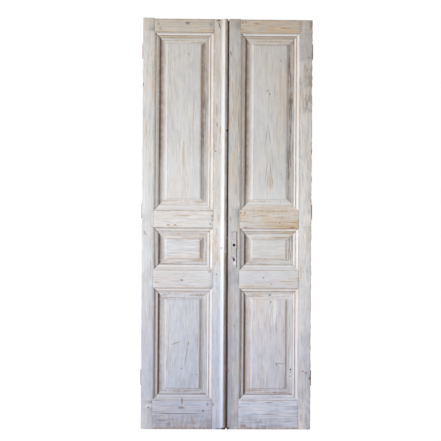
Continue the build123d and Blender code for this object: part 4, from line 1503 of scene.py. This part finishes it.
# Metal, rust, paint, share of rust, share of paint and shine
IRON_FINISHES = {
    "hinge_iron": IronFinish(
        paint(104, 96, 92), paint(158, 116, 98), paint(220, 200, 192), 0.45, 0.8, 0.55
    ),
    # The right leaf's hinges lie on the side away from the light: painted over, with iron and rust set paler
    # than the left ones as painted light
    "right_hinge_iron": IronFinish(
        paint(150, 142, 138), paint(190, 170, 160), paint(232, 229, 227), 0.3, 1.0, 0.6
    ),
    "lock_iron": IronFinish(
        paint(96, 92, 90), paint(112, 78, 60), paint(120, 110, 104), 0.45, 0.1, 0.42
    ),
    "painted_iron": IronFinish(
        paint(110, 104, 100), paint(120, 92, 76), paint(208, 206, 209), 0.4, 1.02, 0.5
    ),
}

# Zones that several boards share
PANEL_HEAD = Zone.front(Trace.SMUDGE, (-0.6, 0.6), (2.14, 2.50), 0.09, 0.06)
TOP_EDGE = Zone.front(Trace.STAIN, (-0.6, 0.6), (2.4555, 2.6), 0.6, 0.0015, 0.8)
# Painted shade under the cover strip's foot and along the foot beside it
STRIP_FOOT = Zone.front(Trace.SOOT, (-0.026, 0.022), (-0.02, 0.0125), 0.95, 0.004, 0.1)
FOOT_LINE = Zone.front(Trace.SOOT, (-0.062, -0.020), (-0.02, 0.0065), 0.75, 0.003, 0.3)
# Painted shade inside the gap between the leaves, on the edges of both meeting stiles, the rear strip and the
# latch
PAINTED_GAP_SHADE = Zone(Trace.DEPTH, (-0.0032, FACE_Y - 0.0042, -0.1), (0.0076, 0.05, 2.6), 0.97, 0.0010)

# Marks and zones by kind of iron, lowest first
IRON_MARKS = {
    # The latch in the gap gets the gap's painted shade
    "lock_iron": [PAINTED_GAP_SHADE],
    "painted_iron": [
        # Dark line along the plate's right edge, which faces away from the light: dirt in the joint and
        # painted shade
        Zone.front(Trace.CRACK, (0.0578, 0.0640), (0.9690, 1.1870), 0.75, 0.0008, 0.2),
        Mark(Trace.SMUDGE, 0.0335, 1.180, 0.0040, 0.0040, 0.7),
        Mark(Trace.SMUDGE, 0.0330, 1.032, 0.0030, 0.0150, 0.8, 0.3),
        # Painted shade in the spindle hole and the keyhole
        Mark(Trace.SOOT, 0.0440, 1.106, 0.0105, 0.0105, 1.0),
        Mark(Trace.SOOT, 0.0440, 1.019, 0.0070, 0.0150, 1.0),
        Mark(Trace.PALE, 0.0470, 0.998, 0.0100, 0.0130, 0.9),
        Mark(Trace.PALE, 0.0525, 1.026, 0.0040, 0.0100, 0.8),
    ],
}

# Zones of the cover strip and of the gap beside it
# The strip's right flank faces away from the light: worn brown wood, darkened further as painted shade
STRIP_FLANK = Zone.front(Trace.STAIN, (-0.0165, 0.002), (1.06, 2.5), 0.6, 0.003, 0.3)
STRIP_BROWN = Zone.front(Trace.STAIN, (-0.0165, 0.002), (-0.1, 1.06), 0.85, 0.003, 0.2)
# Painted shade along the strip's right edge, beside the gap
STRIP_EDGE = Zone.front(Trace.SOOT, (-0.0012, 0.002), (1.06, 2.5), 0.5, 0.0010, 0.4)
# Painted shade on the front of the right meeting stile's edge, reaching further in towards the foot, so that
# the gap looks wider lower down
WIDER_GAP_PAINTED_SHADE = [
    Zone.front(Trace.DEPTH, (-0.001, reach), (-0.1, height), 0.6, 0.0012, 0.1)
    for reach, height in ((0.0095, 1.40), (0.0110, 0.95), (0.0125, 0.55))
]

# Marks and zones by board, lowest first
LEFT_MARKS = {
    "cover_strip": [
        STRIP_FLANK,
        STRIP_BROWN,
        STRIP_EDGE,
        STRIP_FOOT,
        FOOT_LINE,
        Mark(Trace.HOLE, -0.031, 1.088, 0.0045, 0.0045),
        # Painted shade in a notch in the strip's edge
        Mark(Trace.SOOT, -0.0015, 1.791, 0.0082, 0.0090, 1.0),
    ],
    "rear_strip": [PAINTED_GAP_SHADE],
    "meeting_stile": [
        Zone.front(Trace.STAIN, (-0.11, -0.04), (2.10, 2.60), 0.36, 0.06, 0.3),
        Zone.front(Trace.PALE, (-0.11, -0.04), (1.08, 1.66), 0.44, 0.08),
        PAINTED_GAP_SHADE,
        STRIP_FOOT,
        FOOT_LINE,
        Mark(Trace.ORANGE, -0.064, 2.452, 0.009, 0.011, 0.8),
        Mark(Trace.CRACK, -0.053, 2.454, 0.008, 0.008, 0.8),
        Mark(Trace.STAIN, -0.066, 1.915, 0.007, 0.050, 0.4),
        Mark(Trace.RUBBED, -0.058, 2.130, 0.006, 0.110, 0.45),
        Mark(Trace.RUBBED, -0.075, 1.760, 0.004, 0.120, 0.4),
        Mark(Trace.SMUDGE, -0.062, 1.830, 0.006, 0.020, 0.5),
        Mark(Trace.HOLE, -0.069, 1.669, 0.0045, 0.0045),
        Mark(Trace.HOLE, -0.060, 0.930, 0.0045, 0.0045),
        Mark.line(Trace.CRACK, (-0.058, 2.452), (-0.045, 2.398), 0.0045),
        Mark(Trace.STAIN, -0.076, 0.150, 0.010, 0.016, 0.6, 0.2),
    ],
    "hinge_stile": [
        Zone.front(Trace.SMUDGE, (-0.6, -0.4), (-0.2, 0.75), 0.20, 0.10),
        Zone.front(Trace.PALE, (-0.6, -0.4), (-0.2, 0.18), 0.36, 0.03, 0.3),
        Zone.front(Trace.STAIN, (-0.6, -0.4), (0.90, 1.27), 0.11, 0.08),
        Zone.front(Trace.PALE, (-0.6, -0.4), (1.36, 1.63), 0.50, 0.08),
        Zone.front(Trace.STAIN, (-0.437, -0.4295), (2.398, 2.600), 0.45, 0.002, 0.4),
        Mark(Trace.RUBBED, -0.487, 1.800, 0.006, 0.060, 0.5),
        Mark(Trace.RUBBED, -0.449, 2.060, 0.005, 0.160, 0.45),
        Mark(Trace.RUBBED, -0.455, 0.960, 0.005, 0.090, 0.4),
        Mark(Trace.STAIN, -0.490, 1.175, 0.006, 0.022, 0.5, 0.5),
        Mark(Trace.SMUDGE, -0.505, 2.066, 0.004, 0.012, 0.6),
        Mark(Trace.HOLE, -0.465, 0.131, 0.0052, 0.0052),
    ],
    "lock_rail": [
        Mark(Trace.KNOT, -0.269, 0.894, 0.010, 0.008),
        Mark(Trace.STAIN, -0.100, 0.945, 0.012, 0.006, 0.6),
    ],
    "top_rail": [
        Mark(Trace.KNOT, -0.242, 2.436, 0.018, 0.011),
        Mark(Trace.STAIN, -0.417, 2.430, 0.008, 0.010, 0.6),
        Mark(Trace.ORANGE, -0.406, 2.402, 0.010, 0.012, 0.45),
        Mark(Trace.ORANGE, -0.084, 2.392, 0.007, 0.008, 0.7),
        Mark(Trace.SMUDGE, -0.102, 2.430, 0.012, 0.020, 0.3),
        TOP_EDGE,
    ],
    "top_panel": [
        Zone.front(Trace.SMUDGE, (-0.45, -0.312), (1.30, 2.40), 0.09, 0.03),
        Zone.front(Trace.SMUDGE, (-0.45, -0.05), (1.92, 2.11), 0.06, 0.05),
        Zone.front(Trace.PALE, (-0.45, -0.05), (1.30, 1.63), 0.55, 0.08),
        PANEL_HEAD,
        Mark(Trace.KNOT, -0.234, 2.250, 0.005, 0.014, 0.5),
        Mark(Trace.RUBBED, -0.262, 1.640, 0.008, 0.110, 0.5, 0.02),
        Mark(Trace.RUBBED, -0.205, 1.900, 0.006, 0.150, 0.35, -0.02),
        Mark(Trace.RUBBED, -0.165, 2.120, 0.006, 0.160, 0.35),
    ],
    "bottom_panel": [
        Mark(Trace.SMUDGE, -0.344, 0.822, 0.012, 0.012, turn=0.6),
        Mark.line(Trace.STAIN, (-0.339, 0.503), (-0.264, 0.528), 0.003, 0.7),
        Mark.line(Trace.STAIN, (-0.227, 0.521), (-0.251, 0.355), 0.005, 0.45),
        Mark(Trace.STAIN, -0.226, 0.515, 0.006, 0.016, 0.6),
        Mark(Trace.SMUDGE, -0.267, 0.365, 0.005, 0.005),
        Mark(Trace.SMUDGE, -0.173, 0.328, 0.005, 0.005),
    ],
    "bottom_rail": [
        Zone.front(Trace.SMUDGE, (-0.45, -0.07), (-0.02, 0.090), 0.35, 0.012, 1.0),
        Zone.front(Trace.STAIN, (-0.45, -0.07), (-0.02, 0.012), 0.6, 0.008, 0.6),
        Mark(Trace.SMUDGE, -0.340, 0.030, 0.020, 0.016, 0.5, 0.5),
        Mark(Trace.STAIN, -0.200, 0.055, 0.012, 0.030, 0.5, 0.4),
        Mark(Trace.SMUDGE, -0.110, 0.150, 0.006, 0.016, 0.6),
        Mark(Trace.STAIN, -0.262, 0.167, 0.007, 0.022, 0.8),
        Mark(Trace.SMUDGE, -0.268, 0.130, 0.025, 0.010, 0.7),
        Mark(Trace.SMUDGE, -0.135, 0.111, 0.008, 0.008),
        Mark.line(Trace.CRACK, (-0.435, 0.094), (-0.123, 0.094), 0.0026, 0.75),
        Mark.line(Trace.CRACK, (-0.435, 0.054), (-0.333, 0.054), 0.0024, 0.6),
    ],
    "frieze_rail": [
        Mark(Trace.STAIN, -0.086, 1.280, 0.007, 0.009, 0.7),
        Mark(Trace.STAIN, -0.088, 1.256, 0.006, 0.007, 0.6),
        Mark(Trace.STAIN, -0.098, 1.231, 0.007, 0.008, 0.6),
        Mark(Trace.ORANGE, -0.350, 1.224, 0.012, 0.005),
        Mark(Trace.ORANGE, -0.310, 1.224, 0.012, 0.005),
    ],
}
RIGHT_MARKS = {
    "meeting_stile": [
        Zone.front(Trace.SMUDGE, (0.0, 0.09), (1.92, 2.11), 0.13, 0.05, 0.2),
        Zone.front(Trace.PALE, (0.0, 0.09), (1.27, 1.40), 0.18, 0.04),
        Zone.front(Trace.SMUDGE, (0.0, 0.09), (0.42, 0.80), 0.15, 0.06, 0.2),
        Zone.front(Trace.PALE, (0.0, 0.09), (-0.1, 0.16), 0.20, 0.05),
        Zone.front(Trace.SMUDGE, (0.004, 0.034), (-0.1, 0.96), 0.30, 0.010, 0.3),
        Zone.front(Trace.PALE, (0.058, 0.085), (-0.1, 0.96), 0.20, 0.010, 0.3),
        *WIDER_GAP_PAINTED_SHADE,
        PAINTED_GAP_SHADE,
        STRIP_FOOT,
        Mark(Trace.RUBBED, 0.052, 1.960, 0.008, 0.120, 0.55),
        Mark(Trace.RUBBED, 0.060, 1.700, 0.006, 0.090, 0.45),
        Mark(Trace.RUBBED, 0.040, 1.880, 0.006, 0.100, 0.5),
        Mark(Trace.STAIN, 0.068, 1.860, 0.005, 0.120, 0.5),
        Mark(Trace.STAIN, 0.020, 2.250, 0.006, 0.024, 0.6, 0.2),
        Mark(Trace.STAIN, 0.022, 1.262, 0.004, 0.022, 0.7, 0.1),
        Zone.front(Trace.STAIN, (0.0255, 0.0625), (0.9665, 1.1875), 0.75, 0.0008, 0.6),
        # Dark line on the stile along the lock plate's right edge: dirt in the joint and painted shade
        Zone.front(Trace.CRACK, (0.0560, 0.0632), (0.9690, 1.1870), 0.8, 0.0008, 0.2),
        Mark.line(Trace.CRACK, (0.013, 2.277), (0.022, 2.246), 0.002),
        Mark(Trace.RED, 0.049, 0.620, 0.006, 0.012, 0.5),
        Mark(Trace.RED, 0.012, 0.350, 0.006, 0.016, 0.8),
    ],
    "frieze_rail": [
        Zone.front(Trace.PALE, (0.07, 0.45), (1.262, 1.36), 0.30, 0.012, 0.6),
        Mark(Trace.ORANGE, 0.083, 1.300, 0.008, 0.010, 0.8),
        Mark(Trace.ORANGE, 0.107, 1.299, 0.007, 0.009, 0.8),
        Mark(Trace.RUBBED, 0.083, 1.268, 0.007, 0.030, 0.6),
        Mark(Trace.RED, 0.112, 1.212, 0.017, 0.004, 0.7),
        Mark(Trace.RED, 0.393, 1.213, 0.021, 0.004, 0.8),
        Mark(Trace.HOLE, 0.319, 1.240, 0.0045, 0.0045),
    ],
    "bottom_rail": [
        Zone.front(Trace.STAIN, (0.060, 0.44), (-0.02, 0.014), 0.6, 0.008, 0.5),
        Zone.front(Trace.SMUDGE, (0.060, 0.30), (-0.02, 0.070), 0.3, 0.015, 1.0),
        Mark(Trace.STAIN, 0.105, 0.020, 0.024, 0.012, 0.6),
        Mark.line(Trace.CRACK, (0.180, 0.091), (0.330, 0.091), 0.0026, 0.6),
        Mark.line(Trace.CRACK, (0.085, 0.060), (0.170, 0.060), 0.0022, 0.5),
        Mark.line(Trace.CRACK, (0.230, 0.160), (0.290, 0.161), 0.0030, 0.6),
        Mark.line(Trace.CRACK, (0.330, 0.160), (0.395, 0.160), 0.0026, 0.5),
    ],
    "bottom_panel": [
        Zone.front(Trace.PALE, (0.08, 0.42), (0.77, 0.90), 0.30, 0.02, 0.2),
        Mark(Trace.HOLE, 0.389, 0.358, 0.0062, 0.0062, 0.95),
        Mark(Trace.SMUDGE, 0.388, 0.341, 0.004, 0.006),
        Mark(Trace.SMUDGE, 0.387, 0.318, 0.007, 0.004),
        Mark.line(Trace.SMUDGE, (0.299, 0.398), (0.357, 0.392), 0.004, 0.6),
        Mark(Trace.SMUDGE, 0.303, 0.392, 0.006, 0.012, 0.7, 0.3),
        Mark(Trace.SMUDGE, 0.262, 0.806, 0.010, 0.007),
        Mark(Trace.SMUDGE, 0.267, 0.764, 0.005, 0.010),
        Mark(Trace.ORANGE, 0.293, 0.219, 0.016, 0.006, 0.8),
        Mark(Trace.PALE, 0.292, 0.712, 0.013, 0.100, 0.7),
    ],
    "lock_rail": [
        Mark(Trace.SMUDGE, 0.222, 0.911, 0.008, 0.005),
        Mark(Trace.SMUDGE, 0.271, 0.872, 0.005, 0.004),
    ],
    "top_rail": [
        Mark(Trace.ORANGE, 0.087, 2.444, 0.009, 0.010, 0.8),
        Mark(Trace.ORANGE, 0.107, 2.444, 0.007, 0.010, 0.7),
        Mark(Trace.ORANGE, 0.085, 2.398, 0.009, 0.009, 0.8),
        TOP_EDGE,
        Mark(Trace.CRACK, 0.173, 2.436, 0.022, 0.004, 0.5),
        Mark(Trace.RUBBED, 0.260, 2.412, 0.040, 0.018, 0.7),
        Mark(Trace.RUBBED, 0.375, 2.396, 0.040, 0.010, 0.7),
        Mark(Trace.RUBBED, 0.095, 2.393, 0.030, 0.010, 0.7),
    ],
    "top_panel": [
        PANEL_HEAD,
        Zone.front(Trace.STAIN, (0.160, 0.366), (2.3035, 2.3095), 0.45, 0.0015, 0.3),
        Zone.front(Trace.PALE, (0.05, 0.45), (1.20, 1.46), 0.60, 0.10),
        Mark(Trace.SMUDGE, 0.240, 2.035, 0.006, 0.010, 0.6),
        Mark(Trace.SMUDGE, 0.254, 2.015, 0.006, 0.008, 0.6),
        Mark(Trace.SMUDGE, 0.319, 2.215, 0.005, 0.012, 0.5),
        Mark(Trace.RUBBED, 0.318, 2.060, 0.007, 0.150, 0.5),
        Mark(Trace.RUBBED, 0.340, 1.900, 0.006, 0.170, 0.45),
        Mark(Trace.RUBBED, 0.298, 1.820, 0.005, 0.120, 0.35),
        Mark(Trace.RUBBED, 0.262, 1.480, 0.022, 0.050, 0.4),
        Mark.line(Trace.CRACK, (0.229, 1.690), (0.241, 1.838), 0.0024, 0.42),
        Mark.line(Trace.CRACK, (0.264, 1.690), (0.244, 1.838), 0.0024, 0.42),
        Mark.line(Trace.CRACK, (0.225, 1.445), (0.246, 1.640), 0.0024, 0.42),
        Mark.line(Trace.CRACK, (0.278, 1.445), (0.250, 1.640), 0.0024, 0.42),
        Mark.line(Trace.CRACK, (0.237, 1.435), (0.248, 1.555), 0.0022, 0.38),
        Mark.line(Trace.CRACK, (0.264, 1.435), (0.252, 1.555), 0.0022, 0.38),
    ],
    "hinge_stile": [
        Zone.front(Trace.PALE, (0.430, 0.520), (0.57, 0.90), 0.36, 0.05),
        Zone.front(Trace.PALE, (0.430, 0.520), (1.28, 1.52), 0.40, 0.06),
        Zone.front(Trace.SMUDGE, (0.430, 0.520), (1.980, 2.215), 0.10, 0.030),
        Zone.front(Trace.SMUDGE, (0.430, 0.520), (2.215, 2.392), 0.36, 0.012, 0.4),
        Zone.front(Trace.SMUDGE, (0.430, 0.520), (2.398, 2.600), 0.42, 0.003, 0.4),
        Zone.front(Trace.STAIN, (0.4385, 0.4475), (2.388, 2.600), 0.5, 0.0025, 0.3),
        Zone.front(Trace.SMUDGE, (0.457, 0.506), (1.913, 2.206), 0.55, 0.020, 0.9),
        Zone.front(Trace.STAIN, (0.466, 0.506), (1.930, 2.180), 0.3, 0.020, 0.9),
        Zone.front(Trace.STAIN, (0.5035, 0.530), (-0.1, 2.6), 0.65, 0.002, 0.8),
        Zone.front(Trace.SMUDGE, (0.440, 0.506), (0.200, 0.600), 0.15, 0.02, 1.0),
        Zone.front(Trace.PALE, (0.436, 0.503), (-0.1, 0.800), 0.32, 0.02, 1.0),
        Mark.line(Trace.CRACK, (0.470, 2.240), (0.505, 2.232), 0.004, 0.5),
        Mark(Trace.STAIN, 0.498, 2.430, 0.006, 0.030, 0.7),
        Mark(Trace.RED, 0.463, 0.350, 0.010, 0.008, 0.5),
        Mark(Trace.RED, 0.481, 0.341, 0.010, 0.010, 0.6),
        Mark(Trace.RED, 0.504, 0.308, 0.008, 0.012, 0.9),
        Mark(Trace.RED, 0.507, 1.925, 0.005, 0.025, 0.6),
        Mark(Trace.RED, 0.507, 1.667, 0.005, 0.020, 0.6),
    ],
}

# Worn and moved edges by board
LEFT_SHAPES = {
    "hinge_stile": {"foot_corner": 0.009, "slice_length": 0.018, "ragged": 0.0025},
    "rear_strip": {"break_ends": (1.1235, 1.1485), "side_reach": 0.0005, "unevenness": 0.0002},
    "cover_strip": {"foot_reach": 0.007},
}
RIGHT_SHAPES = {
    "hinge_stile": {"foot_corner": 0.006, "slice_length": 0.014, "ragged": 0.005},
    "meeting_stile": {"unevenness": 0.0003},
}


def main() -> None:
    """Builds the doors and the studio."""
    logging.basicConfig(level=logging.INFO, format="%(name)s: %(message)s")
    Leaf(LEFT_OPENINGS, LEFT_FINISHES, LEFT_MARKS, LEFT_SHAPES).build()
    Leaf(RIGHT_OPENINGS, RIGHT_FINISHES, RIGHT_MARKS, RIGHT_SHAPES).build()
    Ironwork(IRON_FINISHES, IRON_MARKS).dress()
    Studio().build()


if __name__ == "__main__":
    main()
